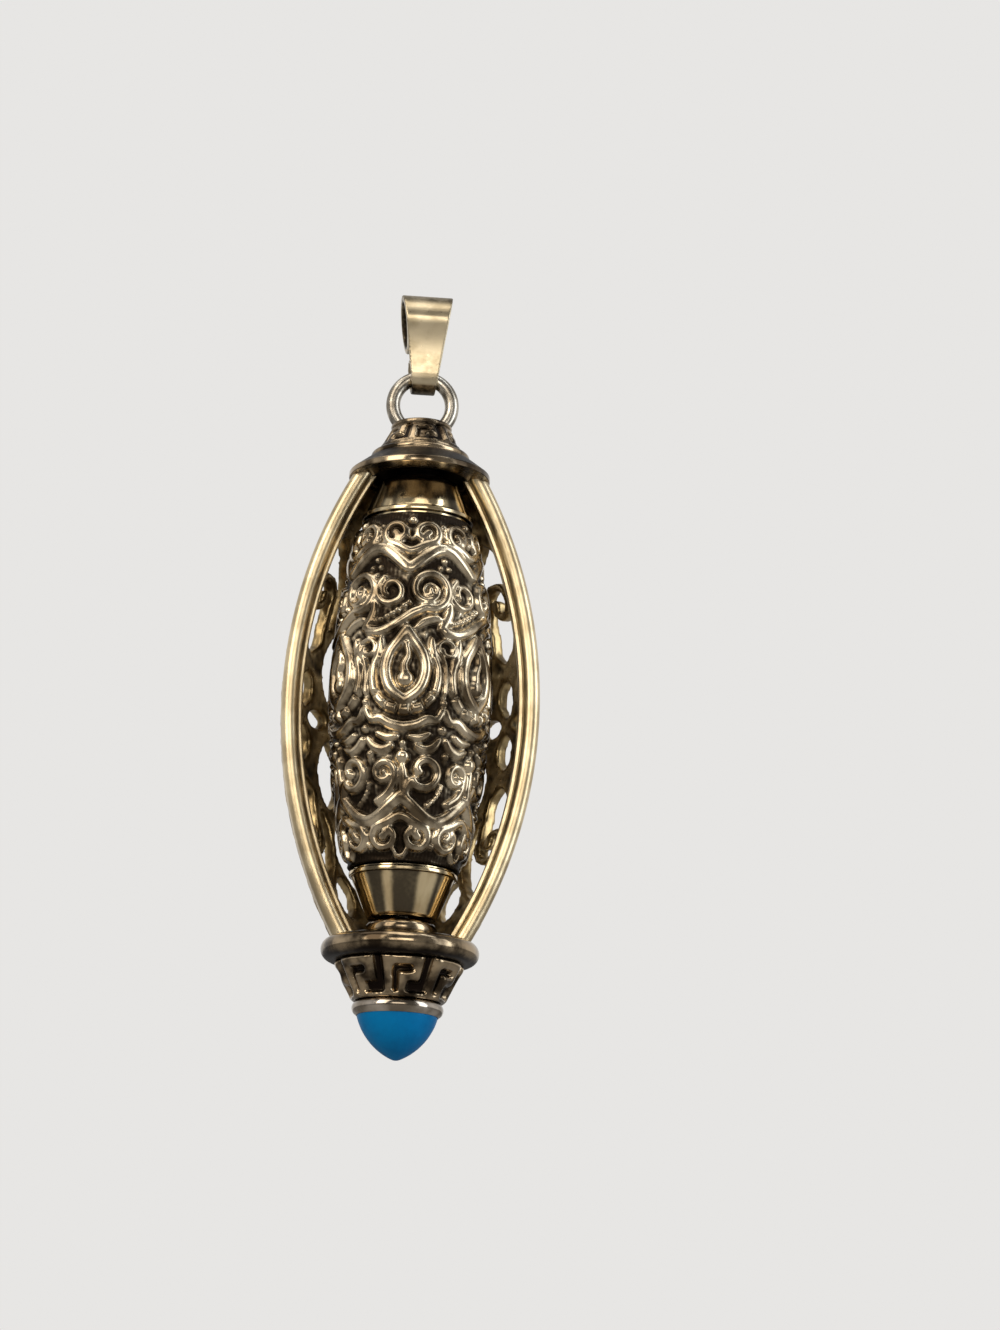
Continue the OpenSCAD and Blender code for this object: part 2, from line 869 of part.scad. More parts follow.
bail();
hanging_loop();
top_cap();
top_collar();
cage_shell();
left_rim();
right_rim();
base_collar();
key_cup();
bezel();
stone_tip();
axle();
top_washer();
lower_bush();
drum_body();
upper_drum_cap();
lower_drum_cap();
spool_tube();
paper_roll();
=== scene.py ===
"""Dresses the hanging prayer wheel: relief drum, pierced cage, key cones, stone tip and bail."""

import logging
import math
from dataclasses import dataclass, field, replace
from enum import Enum
from typing import Any, Iterable, Optional, Sequence, Union

import bmesh
import bpy
import numpy as np
from bmesh.types import BMesh
from bpy.types import Material, Mesh, Node, NodeSocket, NodeTree, Object
from mathutils import Matrix, Vector, noise


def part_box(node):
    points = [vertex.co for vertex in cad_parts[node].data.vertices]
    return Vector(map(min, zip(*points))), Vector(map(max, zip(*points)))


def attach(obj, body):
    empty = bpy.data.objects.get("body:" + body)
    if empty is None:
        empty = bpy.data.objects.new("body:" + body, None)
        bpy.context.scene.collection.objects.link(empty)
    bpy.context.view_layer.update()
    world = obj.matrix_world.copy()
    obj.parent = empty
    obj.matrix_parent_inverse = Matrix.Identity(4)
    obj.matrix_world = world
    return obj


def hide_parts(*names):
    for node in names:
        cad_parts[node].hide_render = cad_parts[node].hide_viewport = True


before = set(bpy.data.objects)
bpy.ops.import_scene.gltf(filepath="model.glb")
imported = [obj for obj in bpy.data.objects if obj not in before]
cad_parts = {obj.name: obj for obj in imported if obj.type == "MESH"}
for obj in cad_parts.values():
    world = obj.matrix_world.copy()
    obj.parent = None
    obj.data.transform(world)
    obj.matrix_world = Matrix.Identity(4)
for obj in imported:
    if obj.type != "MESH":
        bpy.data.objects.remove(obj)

LOG = logging.getLogger("prayer_wheel")

Colour = tuple[float, float, float]
Point = tuple[float, float]

MM = 0.001
WELD = 1e-7
# Per-vertex value that darkens a surface: patina in hollows on most pieces, painted shade on the bail,
# collar and discs, painted reflection on the drum caps.
STAIN_AND_SHADE = "stain_and_shade"
FLAT_CAVITY = 0.4
SHARP_CORNER = math.radians(155.0)
LEAF_TIP = 0.2
VALUE, COLOUR = "NodeSocketFloat", "NodeSocketColor"


class Body(Enum):
    """The moving bodies of the frame."""

    BAIL = "bail"
    CAGE = "cage"
    DRUM = "drum"


class Slot(Enum):
    """The record's material slots."""

    BAIL = "bail_metal"
    ANTIQUE = "antique_silver"
    POLISHED = "polished_silver"
    SHELL = "aged_shell"
    STONE = "turquoise"


class Graph:
    """Adds nodes to one node tree and wires them."""

    def __init__(self, tree: NodeTree) -> None:
        """Takes the tree that the nodes go into."""
        self.tree = tree

    def wire(self, node: Node, inputs: dict[Any, Any]) -> None:
        """Fills the inputs of a node.

        Args:
            node: the node.
            inputs: values, colours or output sockets for its inputs, by name or number.
        """
        for key, value in inputs.items():
            if isinstance(value, NodeSocket):
                self.tree.links.new(value, node.inputs[key])
            else:
                node.inputs[key].default_value = (*value, 1.0) if isinstance(value, tuple) else value

    def add(self, kind: str, inputs: Optional[dict[Any, Any]] = None, **settings: Any) -> Node:
        """Makes one node.

        Args:
            kind: Blender's name of the node type.
            inputs: what its inputs are filled with.
            settings: properties of the node.

        Returns:
            The new node.
        """
        node = self.tree.nodes.new(kind)
        for key, value in settings.items():
            setattr(node, key, value)
        self.wire(node, inputs or {})
        return node

    def where(self, kind: str = "Object") -> NodeSocket:
        """Makes the node that tells where a point lies, and returns one kind of its coordinates."""
        return self.add("ShaderNodeTexCoord").outputs[kind]

    def math(self, operation: str, a: Any, b: Any = 0.0, c: Any = 0.0) -> NodeSocket:
        """Makes a Math node and returns its value."""
        return self.add("ShaderNodeMath", {0: a, 1: b, 2: c}, operation=operation).outputs[0]

    def noise(self, where: Any, scale: float, detail: float = 3.0) -> NodeSocket:
        """Makes a noise texture and returns its value, which is about 0.5 on average."""
        inputs = {"Vector": where, "Scale": scale, "Detail": detail}
        return self.add("ShaderNodeTexNoise", inputs).outputs[0]

    def blend(self, share: Any, a: Any, b: Any) -> NodeSocket:
        """Mixes two colours by a share and returns the colour."""
        return self.add("ShaderNodeMix", {0: share, 6: a, 7: b}, data_type="RGBA").outputs[2]

    def ramp(
        self, value: Any, low: Any, high: Any, to_low: float = 0.0, to_high: float = 1.0
    ) -> NodeSocket:
        """Maps a value from one range to another with soft ends."""
        inputs = {0: value, 1: low, 2: high, 3: to_low, 4: to_high}
        return self.add("ShaderNodeMapRange", inputs, interpolation_type="SMOOTHSTEP").outputs[0]

    def bump(self, height: Any, strength: float, depth: float) -> NodeSocket:
        """Makes a bump with a depth in millimetres and returns its normal."""
        inputs = {"Strength": strength, "Distance": depth * MM, "Height": height}
        return self.add("ShaderNodeBump", inputs).outputs["Normal"]


def new_material(name: str) -> tuple[Material, Graph, Node]:
    """Makes a material with nodes.

    Args:
        name: name of the material.

    Returns:
        The material, its graph and its Principled BSDF.
    """
    made = bpy.data.materials.new(name)
    made.use_nodes = True
    return made, Graph(made.node_tree), made.node_tree.nodes["Principled BSDF"]


def add_object(name: str, data: Any) -> Object:
    """Adds an object to the scene.

    Args:
        name: name of the object.
        data: its mesh, lamp or camera.

    Returns:
        The new object.
    """
    made = bpy.data.objects.new(name, data)
    bpy.context.scene.collection.objects.link(made)
    return made


def group_tree(name: str, inputs: dict[str, str], outputs: dict[str, str]) -> tuple[Graph, Any, Node]:
    """Makes an empty shader node group.

    Args:
        name: name of the group.
        inputs: socket type of each input, by name.
        outputs: socket type of each output, by name.

    Returns:
        The group's graph, the sockets that it is given and the node that takes its results.
    """
    tree = bpy.data.node_groups.new(name, "ShaderNodeTree")
    for direction, sockets in (("INPUT", inputs), ("OUTPUT", outputs)):
        for label, kind in sockets.items():
            tree.interface.new_socket(label, in_out=direction, socket_type=kind)
    graph = Graph(tree)
    return graph, graph.add("NodeGroupInput").outputs, graph.add("NodeGroupOutput")


@dataclass
class Effects:
    """The node groups that several finishes share, each built once. Scales are per metre."""

    blot_scale: float = 520.0
    blot_stain: float = 0.5
    speck_scale: float = 4200.0
    speck_stain: float = 0.16
    speck_dull: Point = (0.16, -0.06)
    film: Point = (0.38, 0.64)
    wave_scale: float = 330.0
    pit_scale: float = 6500.0

    def __post_init__(self) -> None:
        """Builds the groups."""
        self.patina = self._patina()
        self.dents = self._dents()

    def _patina(self) -> NodeTree:
        """Dark stain that settles in hollows and is rubbed off the high points, and the painted shade
        that some pieces add to the same value.

        Returns:
            The group.
        """
        inputs = dict.fromkeys(("StainAndShade", "Streak", "Level", "Softness", "Polish", "Dull"), VALUE)
        inputs |= dict.fromkeys(("Metal", "Tarnish", "Stain"), COLOUR)
        graph, given, made = group_tree("patina", inputs, {"Color": COLOUR, "Roughness": VALUE})
        where = graph.where()
        pull = graph.add("ShaderNodeCombineXYZ", {0: 1.0, 1: 1.0, 2: given["Streak"]}).outputs[0]
        drawn = graph.add("ShaderNodeVectorMath", {0: where, 1: pull}, operation="MULTIPLY").outputs[0]
        blots = graph.noise(drawn, self.blot_scale, 4.0)
        specks = graph.noise(where, self.speck_scale, 2.0)
        speckle = graph.math("MULTIPLY_ADD", specks, self.speck_stain, -self.speck_stain / 2)
        wander = graph.math("MULTIPLY_ADD", blots, self.blot_stain, -self.blot_stain / 2)
        level = graph.math("ADD", graph.math("ADD", given["StainAndShade"], wander), speckle)
        low = graph.math("SUBTRACT", given["Level"], given["Softness"])
        high = graph.math("ADD", given["Level"], given["Softness"])
        mask = graph.ramp(level, low, high)
        metal = graph.blend(graph.ramp(blots, *self.film), given["Metal"], given["Tarnish"])
        colour = graph.blend(mask, metal, given["Stain"])
        sheen = graph.math("ADD", given["Polish"], graph.math("MULTIPLY_ADD", specks, *self.speck_dull))
        dulled = graph.math("SUBTRACT", given["Dull"], sheen)
        rough = graph.math("MULTIPLY_ADD", mask, dulled, sheen)
        graph.wire(made, {"Color": colour, "Roughness": rough})
        return graph.tree

    def _dents(self) -> NodeTree:
        """Slow waves of a hand-finished casting, with fine pits.

        Returns:
            The group.
        """
        graph, given, made = group_tree("dents", {"Waves": VALUE, "Pits": VALUE}, {"Height": VALUE})
        where = graph.where()
        waves = graph.math("MULTIPLY", graph.noise(where, self.wave_scale, 1.0), given["Waves"])
        pits = graph.math("MULTIPLY", graph.noise(where, self.pit_scale), given["Pits"])
        graph.wire(made, {"Height": graph.math("ADD", waves, pits)})
        return graph.tree


@dataclass(frozen=True)
class MetalFinish:
    """An aged metal: bright high points, a thin tarnish film and a dark stain in the hollows."""

    name: str
    metal: Colour
    tarnish: Colour
    stain: Colour
    polish: float
    dull: float
    level: float
    softness: float
    waves: float = 1.0
    pits: float = 0.05
    bump: float = 0.3
    bump_depth: float = 0.1
    streak: float = 1.0

    def material(self, effects: Effects) -> Material:
        """Builds the material, which reads the stain and painted shade that the mesh stores.

        Args:
            effects: the shared node groups.

        Returns:
            The material.
        """
        made, graph, shader = new_material(self.name)
        inputs = {
            "StainAndShade": graph.add("ShaderNodeAttribute", attribute_name=STAIN_AND_SHADE).outputs["Fac"],
            "Streak": self.streak,
            "Level": self.level,
            "Softness": self.softness,
            "Polish": self.polish,
            "Dull": self.dull,
            "Metal": self.metal,
            "Tarnish": self.tarnish,
            "Stain": self.stain,
        }
        patina = graph.add("ShaderNodeGroup", inputs, node_tree=effects.patina).outputs
        inputs = {"Waves": self.waves, "Pits": self.pits}
        dents = graph.add("ShaderNodeGroup", inputs, node_tree=effects.dents).outputs
        inputs = {
            "Metallic": 1.0,
            "Base Color": patina["Color"],
            "Roughness": patina["Roughness"],
            "Normal": graph.bump(dents["Height"], self.bump, self.bump_depth),
        }
        graph.wire(shader, inputs)
        return made


@dataclass(frozen=True)
class GrainFinish:
    """A non-metal with two mottled colours and a fine surface."""

    name: str
    pale: Colour
    deep: Colour
    mottle: float
    roughness: float
    gloss: float = 0.5
    grain: float = 2600.0
    grain_share: float = 0.25
    grain_rough: float = 0.14
    mottle_range: Point = (0.42, 0.86)
    bump: float = 0.1
    bump_depth: float = 0.05

    def material(self) -> Material:
        """Builds the material.

        Returns:
            The material.
        """
        made, graph, shader = new_material(self.name)
        where = graph.where()
        clouds = graph.noise(where, self.mottle, 4.0)
        grain = graph.noise(where, self.grain)
        mixed = graph.math("MULTIPLY_ADD", grain, self.grain_share, clouds)
        least_rough = self.roughness - self.grain_rough / 2
        inputs = {
            "Specular IOR Level": self.gloss,
            "Base Color": graph.blend(graph.ramp(mixed, *self.mottle_range), self.pale, self.deep),
            "Roughness": graph.math("MULTIPLY_ADD", grain, self.grain_rough, least_rough),
            "Normal": graph.bump(grain, self.bump, self.bump_depth),
        }
        graph.wire(shader, inputs)
        return made


Finish = Union[MetalFinish, GrainFinish]

ANTIQUE = MetalFinish(
    "antique_silver",
    metal=(0.50, 0.46, 0.395),
    tarnish=(0.27, 0.235, 0.185),
    stain=(0.020, 0.014, 0.009),
    polish=0.22,
    dull=0.42,
    level=0.52,
    softness=0.26,
)
RELIEF = MetalFinish(
    "relief_silver",
    metal=(0.59, 0.49, 0.345),
    tarnish=(0.12, 0.088, 0.053),
    stain=(0.016, 0.011, 0.007),
    polish=0.19,
    dull=0.5,
    level=0.56,
    softness=0.26,
    pits=0.08,
)
# Its stain colour is patina in the key cones' ground, painted shade in the collar's hollow and under the
# round discs, and a painted dark reflection on the collar's flange.
CAST = MetalFinish(
    "cast_silver",
    metal=(0.40, 0.305, 0.195),
    tarnish=(0.04, 0.028, 0.017),
    stain=(0.012, 0.008, 0.006),
    polish=0.13,
    dull=0.45,
    level=0.5,
    softness=0.26,
)
# Its stain colour also paints the dark upright reflection bands of the drum caps.
CAPS = MetalFinish(
    "polished_caps",
    metal=(0.72, 0.575, 0.345),
    tarnish=(0.44, 0.315, 0.16),
    stain=(0.085, 0.068, 0.045),
    polish=0.1,
    dull=0.2,
    level=0.66,
    softness=0.3,
    waves=1.8,
    pits=0.02,
    streak=0.12,
)
POLISHED = MetalFinish(
    "polished_silver",
    metal=(0.48, 0.42, 0.355),
    tarnish=(0.20, 0.165, 0.125),
    stain=(0.05, 0.04, 0.03),
    polish=0.12,
    dull=0.4,
    level=0.85,
    softness=0.15,
    waves=1.6,
    pits=0.02,
)
RIM = MetalFinish(
    "satin_silver",
    metal=(0.68, 0.56, 0.36),
    tarnish=(0.48, 0.38, 0.23),
    stain=(0.05, 0.04, 0.03),
    polish=0.32,
    dull=0.45,
    level=0.82,
    softness=0.15,
    waves=1.2,
    pits=0.06,
)
SHELL = MetalFinish(
    "aged_shell",
    metal=(0.46, 0.34, 0.17),
    tarnish=(0.17, 0.115, 0.05),
    stain=(0.014, 0.010, 0.006),
    polish=0.28,
    dull=0.55,
    level=0.56,
    softness=0.3,
    pits=0.12,
)
# Its stain colour paints the bail's shade inside its roll and eye, on the lower part of its eye and
# along the top of its roll.
CHAMPAGNE = MetalFinish(
    "champagne_bail",
    metal=(0.58, 0.49, 0.335),
    tarnish=(0.41, 0.335, 0.215),
    stain=(0.03, 0.022, 0.014),
    polish=0.29,
    dull=0.4,
    level=0.9,
    softness=0.15,
    waves=0.7,
    pits=0.03,
)
PIN = MetalFinish(
    "pin_steel",
    metal=(0.22, 0.205, 0.18),
    tarnish=(0.12, 0.11, 0.09),
    stain=(0.05, 0.05, 0.05),
    polish=0.25,
    dull=0.5,
    level=0.9,
    softness=0.2,
)
TURQUOISE = GrainFinish(
    "turquoise",
    pale=(0.0, 0.17, 0.42),
    deep=(0.0, 0.13, 0.335),
    mottle=420.0,
    roughness=0.42,
    gloss=0.1,
)
PAPER = GrainFinish(
    "paper",
    pale=(0.82, 0.74, 0.58),
    deep=(0.70, 0.60, 0.43),
    mottle=260.0,
    roughness=0.85,
    bump=0.5,
)


def clamp(values: np.ndarray) -> np.ndarray:
    """Keeps values between 0 and 1."""
    return np.clip(values, 0.0, 1.0)


def spread_of(where: np.ndarray) -> np.ndarray:
    """Distance of places from the axle."""
    return np.hypot(where[:, 0], where[:, 1])


def read_rows(items: Any, label: str, width: int, kind: type = np.float32) -> np.ndarray:
    """Reads one property of many parts of a mesh.

    Args:
        items: the vertices, edges or values of an attribute.
        label: name of the property.
        width: how many numbers each of them has.
        kind: type of the numbers.

    Returns:
        One row for each item.
    """
    found = np.empty(len(items) * width, kind)
    items.foreach_get(label, found)
    return found.reshape(-1, width)


def edge_ends(mesh: Mesh) -> np.ndarray:
    """Reads the two vertex numbers of every edge."""
    return read_rows(mesh.edges, "vertices", 2, np.int32)


def places(mesh: Mesh) -> np.ndarray:
    """Reads the place of every vertex."""
    return read_rows(mesh.vertices, "co", 3).astype(float)


def vertex_normals(mesh: Mesh) -> np.ndarray:
    """Reads the normal of every vertex."""
    return read_rows(mesh.vertices, "normal", 3)


def move_to(mesh: Mesh, where: np.ndarray) -> None:
    """Writes the place of every vertex."""
    mesh.vertices.foreach_set("co", where.astype(np.float32).ravel())
    mesh.update()


def neighbour_mean(values: np.ndarray, ends: np.ndarray) -> np.ndarray:
    """Averages the values of each vertex's neighbours.

    Args:
        values: one row for each vertex.
        ends: the two vertex numbers of every edge.

    Returns:
        The averages, in the same shape.
    """
    count = len(values)
    a, b = ends[:, 0], ends[:, 1]
    total = np.zeros_like(values)
    for axis in range(values.shape[1]):
        total[:, axis] = np.bincount(a, values[b, axis], count) + np.bincount(b, values[a, axis], count)
    degree = np.bincount(a, minlength=count) + np.bincount(b, minlength=count)
    return total / np.maximum(degree, 1)[:, None]


def evened(values: np.ndarray, ends: np.ndarray, rounds: int) -> np.ndarray:
    """Evens values out over a mesh, in each round halfway to the neighbours' mean.

    Args:
        values: one row for each vertex.
        ends: the two vertex numbers of every edge.
        rounds: how often they are evened.

    Returns:
        The evened values.
    """
    for _ in range(rounds):
        values = 0.5 * (values + neighbour_mean(values, ends))
    return values


def smooth(mesh: Mesh, rounds: int) -> None:
    """Evens the shape of a dense mesh out, which rounds its edges.

    Args:
        mesh: the mesh.
        rounds: how often it is evened.
    """
    where, ends = places(mesh), edge_ends(mesh)
    for _ in range(rounds):
        where += 0.5 * (neighbour_mean(where, ends) - where)
    move_to(mesh, where)


def store_stain_and_shade(mesh: Mesh, values: np.ndarray) -> None:
    """Stores how dark each vertex is drawn, from 0 on a ridge to 1 in a hollow; on the bail the value is
    painted shade.
    """
    layer = mesh.attributes.new(STAIN_AND_SHADE, "FLOAT", "POINT")
    layer.data.foreach_set("value", clamp(values).astype(np.float32))


def measure_cavity(mesh: Mesh, rounds: int, depth: float) -> None:
    """Finds hollows and ridges by comparing the mesh with a smoothed copy of itself.

    Args:
        mesh: a dense mesh.
        rounds: how often the copy is smoothed, which sets the width of what counts.
        depth: depth in millimetres at which a hollow counts in full.
    """
    where = places(mesh)
    moved = evened(where, edge_ends(mesh), rounds) - where
    sunk = np.einsum("ij,ij->i", moved, vertex_normals(mesh))
    store_stain_and_shade(mesh, FLAT_CAVITY + (1.0 - FLAT_CAVITY) * sunk / (depth * MM))


def darken(mesh: Mesh, share: np.ndarray) -> None:
    """Adds to the stored value of each vertex, which darkens it: painted shade on the collar and discs,
    painted reflection on the drum caps, stain on the shell.

    Args:
        mesh: a mesh with its cavities measured.
        share: what is added at each vertex.
    """
    layer = mesh.attributes[STAIN_AND_SHADE]
    values = read_rows(layer.data, "value", 1)[:, 0]
    layer.data.foreach_set("value", clamp(values + share).astype(np.float32))


def to_mesh(bm: BMesh, name: str) -> Mesh:
    """Ends a bmesh as a smooth-shaded mesh.

    Args:
        bm: the bmesh, which is freed.
        name: name of the mesh.

    Returns:
        The mesh.
    """
    mesh = bpy.data.meshes.new(name)
    bm.to_mesh(mesh)
    bm.free()
    mesh.shade_smooth()
    return mesh


def cast_copy(node: str, voxel: float, rounds: int) -> Mesh:
    """Copies a node as a dense casting with soft edges.

    Args:
        node: name of the node that is copied.
        voxel: size of the new mesh's faces in millimetres.
        rounds: how often the copy is smoothed.

    Returns:
        The new mesh.
    """
    bm = bmesh.new()
    bm.from_mesh(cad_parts[node].data)
    bmesh.ops.remove_doubles(bm, verts=bm.verts[:], dist=WELD)
    bmesh.ops.scale(bm, vec=Vector((1, 1, 1)) / MM, verts=bm.verts[:])
    blank = add_object("blank", to_mesh(bm, "blank"))
    remesh = blank.modifiers.new("remesh", "REMESH")
    remesh.mode = "VOXEL"
    remesh.voxel_size = voxel
    remesh.use_smooth_shade = True
    seen = blank.evaluated_get(bpy.context.evaluated_depsgraph_get())
    mesh = bpy.data.meshes.new_from_object(seen)
    spent = blank.data
    bpy.data.objects.remove(blank)
    bpy.data.meshes.remove(spent)
    mesh.materials.clear()
    move_to(mesh, places(mesh) * MM)
    smooth(mesh, rounds)
    mesh.shade_smooth()
    return mesh


def add_profile(bm: BMesh, points: Iterable[Point], closed: bool = False) -> list[Any]:
    """Adds a line of vertices and edges in the plane of X and Z.

    Args:
        bm: the bmesh to add to.
        points: radius and height of each vertex in millimetres.
        closed: whether the last vertex joins the first.

    Returns:
        The new vertices.
    """
    verts = [bm.verts.new((r * MM, 0.0, z * MM)) for r, z in points]
    for pair in zip(verts, verts[1:] + (verts[:1] if closed else [])):
        bm.edges.new(pair)
    return verts


def round_corners(bm: BMesh, verts: Sequence[Any], radius: float) -> None:
    """Rounds the sharp corners of a profile.

    Args:
        bm: the bmesh of the profile.
        verts: the vertices to look at.
        radius: in millimetres.
    """
    sharp = []
    for vert in verts:
        if len(vert.link_edges) == 2:
            one, two = ((edge.other_vert(vert).co - vert.co).normalized() for edge in vert.link_edges)
            if one.angle(two) < SHARP_CORNER:
                sharp.append(vert)
    bmesh.ops.bevel(
        bm,
        geom=sharp,
        offset=radius * MM,
        offset_type="OFFSET",
        segments=4,
        profile=0.5,
        affect="VERTICES",
        clamp_overlap=True,
        material=-1,
    )


def cut_long_edges(bm: BMesh, longest: float) -> None:
    """Cuts the long edges of a profile into shorter ones.

    Args:
        bm: the bmesh of the profile.
        longest: the greatest length in millimetres.
    """
    for edge in bm.edges[:]:
        cuts = int(edge.calc_length() / (longest * MM))
        if cuts:
            bmesh.ops.subdivide_edges(bm, edges=[edge], cuts=cuts)


def spin(
    bm: BMesh,
    centre: Sequence[float],
    axis: Sequence[float],
    angle: float,
    steps: int,
    merge: bool = False,
) -> None:
    """Spins everything in a bmesh round an axis.

    Args:
        bm: the bmesh, with a profile in it.
        centre: a point of the axis.
        axis: direction of the axis.
        angle: how far it is spun.
        steps: faces along the way.
        merge: whether the end joins the start.
    """
    bmesh.ops.spin(
        bm,
        geom=bm.verts[:] + bm.edges[:],
        cent=centre,
        axis=axis,
        dvec=(0, 0, 0),
        angle=angle,
        steps=steps,
        use_merge=merge,
    )


def spin_round(bm: BMesh, steps: int) -> None:
    """Spins everything in a bmesh round the axle and closes the seam and the poles.

    Args:
        bm: the bmesh, with a profile in it.
        steps: faces round the axle.
    """
    spin(bm, (0, 0, 0), (0, 0, 1), math.tau, steps, merge=True)
    bmesh.ops.remove_doubles(bm, verts=bm.verts[:], dist=WELD)
    bmesh.ops.recalc_face_normals(bm, faces=bm.faces[:])


def seal(bm: BMesh, mirror: bool = False) -> None:
    """Fills the open ends of a sweep and turns its faces outward.

    Args:
        bm: the bmesh of the sweep.
        mirror: whether it is mirrored in X.
    """
    bmesh.ops.holes_fill(bm, edges=[edge for edge in bm.edges if edge.is_boundary])
    if mirror:
        bmesh.ops.scale(bm, vec=(-1, 1, 1), verts=bm.verts[:])
    bmesh.ops.recalc_face_normals(bm, faces=bm.faces[:])


def turned(name: str, profile: Sequence[Point], radius: float = 0.1, closed: bool = True) -> Mesh:
    """Turns a profile round the axle, as on a lathe.

    Args:
        name: name of the mesh.
        profile: radius and height of the profile's points in millimetres.
        radius: radius of its rounded corners.
        closed: whether the profile is a closed loop.

    Returns:
        The new mesh, with its cavities measured.
    """
    steps, longest = 144, 0.14
    bm = bmesh.new()
    verts = add_profile(bm, profile, closed)
    round_corners(bm, verts, radius)
    cut_long_edges(bm, longest)
    spin_round(bm, steps)
    mesh = to_mesh(bm, name)
    measure_cavity(mesh, 8, 0.05)
    return mesh


def arc(centre: Point, radius: float, start: float, end: float, count: int) -> list[Point]:
    """Points on an arc, with its angles in degrees."""
    angles = np.radians(np.linspace(start, end, count))
    return [(centre[0] + radius * math.cos(t), centre[1] + radius * math.sin(t)) for t in angles]


def box_mm(node: str) -> tuple[np.ndarray, np.ndarray]:
    """Lowest and highest corner of a node in millimetres."""
    low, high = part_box(node)
    return np.array(low) / MM, np.array(high) / MM


def span(node: str) -> tuple[float, float, float]:
    """Foot, top and half the width of a round node in millimetres."""
    low, high = box_mm(node)
    return low[2], high[2], high[0]


def bow_radius(half: float, rise: float) -> float:
    """Radius of an arc from half its chord and its rise."""
    return (half * half + rise * rise) / (2 * rise)


class Workshop:
    """Makes pieces of meshes and fits them to the frame."""

    def __init__(self) -> None:
        """Builds the materials."""
        effects = Effects()
        self.materials: dict[Finish, Material] = {}
        for finish in (ANTIQUE, RELIEF, CAST, CAPS, POLISHED, RIM, SHELL, CHAMPAGNE, PIN):
            self.materials[finish] = finish.material(effects)
        for finish in (TURQUOISE, PAPER):
            self.materials[finish] = finish.material()

    def fit(self, mesh: Mesh, node: str, finish: Finish, body: Body, slot: Slot) -> None:
        """Puts a mesh in the place of a node.

        Args:
            mesh: the finished mesh, in the frame of the model.
            node: the node that it stands for.
            finish: its finish.
            body: the body that it moves with.
            slot: the record's slot for its finish; not used.
        """
        name = f"{node}_dressed"
        mesh.name = name
        mesh.materials.append(self.materials[finish])
        piece = add_object(name, mesh)
        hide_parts(node)
        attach(piece, body.value)
        LOG.info("%s: %d faces", name, len(mesh.polygons))

    def dress(self, node: str, finish: Finish) -> None:
        """Gives a node that keeps its shape a finish.

        Args:
            node: the node.
            finish: its finish.
        """
        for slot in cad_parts[node].material_slots:
            slot.link = "OBJECT"
            slot.material = self.materials[finish]
        LOG.info("%s: keeps its shape", node)


@dataclass(frozen=True)
class Stroke:
    """One stroke of the relief, raised or cut, on the drum's unrolled face in millimetres.

    A leaf runs out to a point at both ends.
    """

    points: tuple[Point, ...]
    width: float
    height: float = 0.42
    end_width: Optional[float] = None
    cut: bool = False
    leaf: bool = False

    def mirrored(self) -> "Stroke":
        """The same stroke on the other side of the repeat's middle."""
        return replace(self, points=tuple((-x, z) for x, z in self.points))

    def turned_over(self) -> "Stroke":
        """The same stroke at the other end of the drum."""
        return replace(self, points=tuple((x, -z) for x, z in self.points))

    def widths(self) -> np.ndarray:
        """Half the stroke's width at each of its points.

        Returns:
            The half widths in millimetres.
        """
        share = np.linspace(0.0, 1.0, len(self.points))
        wide = self.width + ((self.end_width or self.width) - self.width) * share
        full = np.sqrt(4.0 * share * (1.0 - share))
        return wide * (LEAF_TIP + (1.0 - LEAF_TIP) * full) if self.leaf else wide


def curve(points: Sequence[Point], steps: int = 8) -> tuple[Point, ...]:
    """Runs a smooth curve through points.

    Args:
        points: the points to pass through.
        steps: straight pieces between two of them.

    Returns:
        The points of the curve.
    """
    p = np.array([points[0], *points, points[-1]], float)
    t = np.linspace(0.0, 1.0, steps, endpoint=False)[:, None]
    runs = []
    for a, b, c, d in zip(p, p[1:], p[2:], p[3:]):
        bend = 2 * a - 5 * b + 4 * c - d
        twist = 3 * b - a - 3 * c + d
        runs.append(b + 0.5 * t * ((c - a) + t * (bend + t * twist)))
    runs.append(p[-1:])
    return tuple(map(tuple, np.vstack(runs)))


def volute(
    centre: Point, radii: Sequence[float], start: float, turn: float, stretch: float = 1.0
) -> list[Point]:
    """A spiral from its outside to its eye.

    Args:
        centre: the eye.
        radii: the radius at even steps along the spiral.
        start: angle of the start in degrees.
        turn: how far it turns, in degrees, with its sign.
        stretch: how much wider than high it is drawn, which makes up for the narrower ends of the drum.

    Returns:
        The points of the spiral.
    """
    share = np.linspace(0.0, 1.0, max(6, int(abs(turn) / 20)))
    angle = np.radians(start + turn * share)
    radius = np.interp(share, np.linspace(0.0, 1.0, len(radii)), radii)
    return list(zip(centre[0] + stretch * radius * np.cos(angle), centre[1] + radius * np.sin(angle)))


def bead(x: float, z: float, radius: float, height: float = 0.42) -> Stroke:
    """A round bead."""
    return Stroke(((x, z), (x + 0.01, z)), radius, height)


def beads(points: Sequence[Point], radius: float) -> list[Stroke]:
    """A string of small beads along a curve, two to each of its runs."""
    return [bead(x, z, radius, 0.4) for x, z in curve(points, 2)]


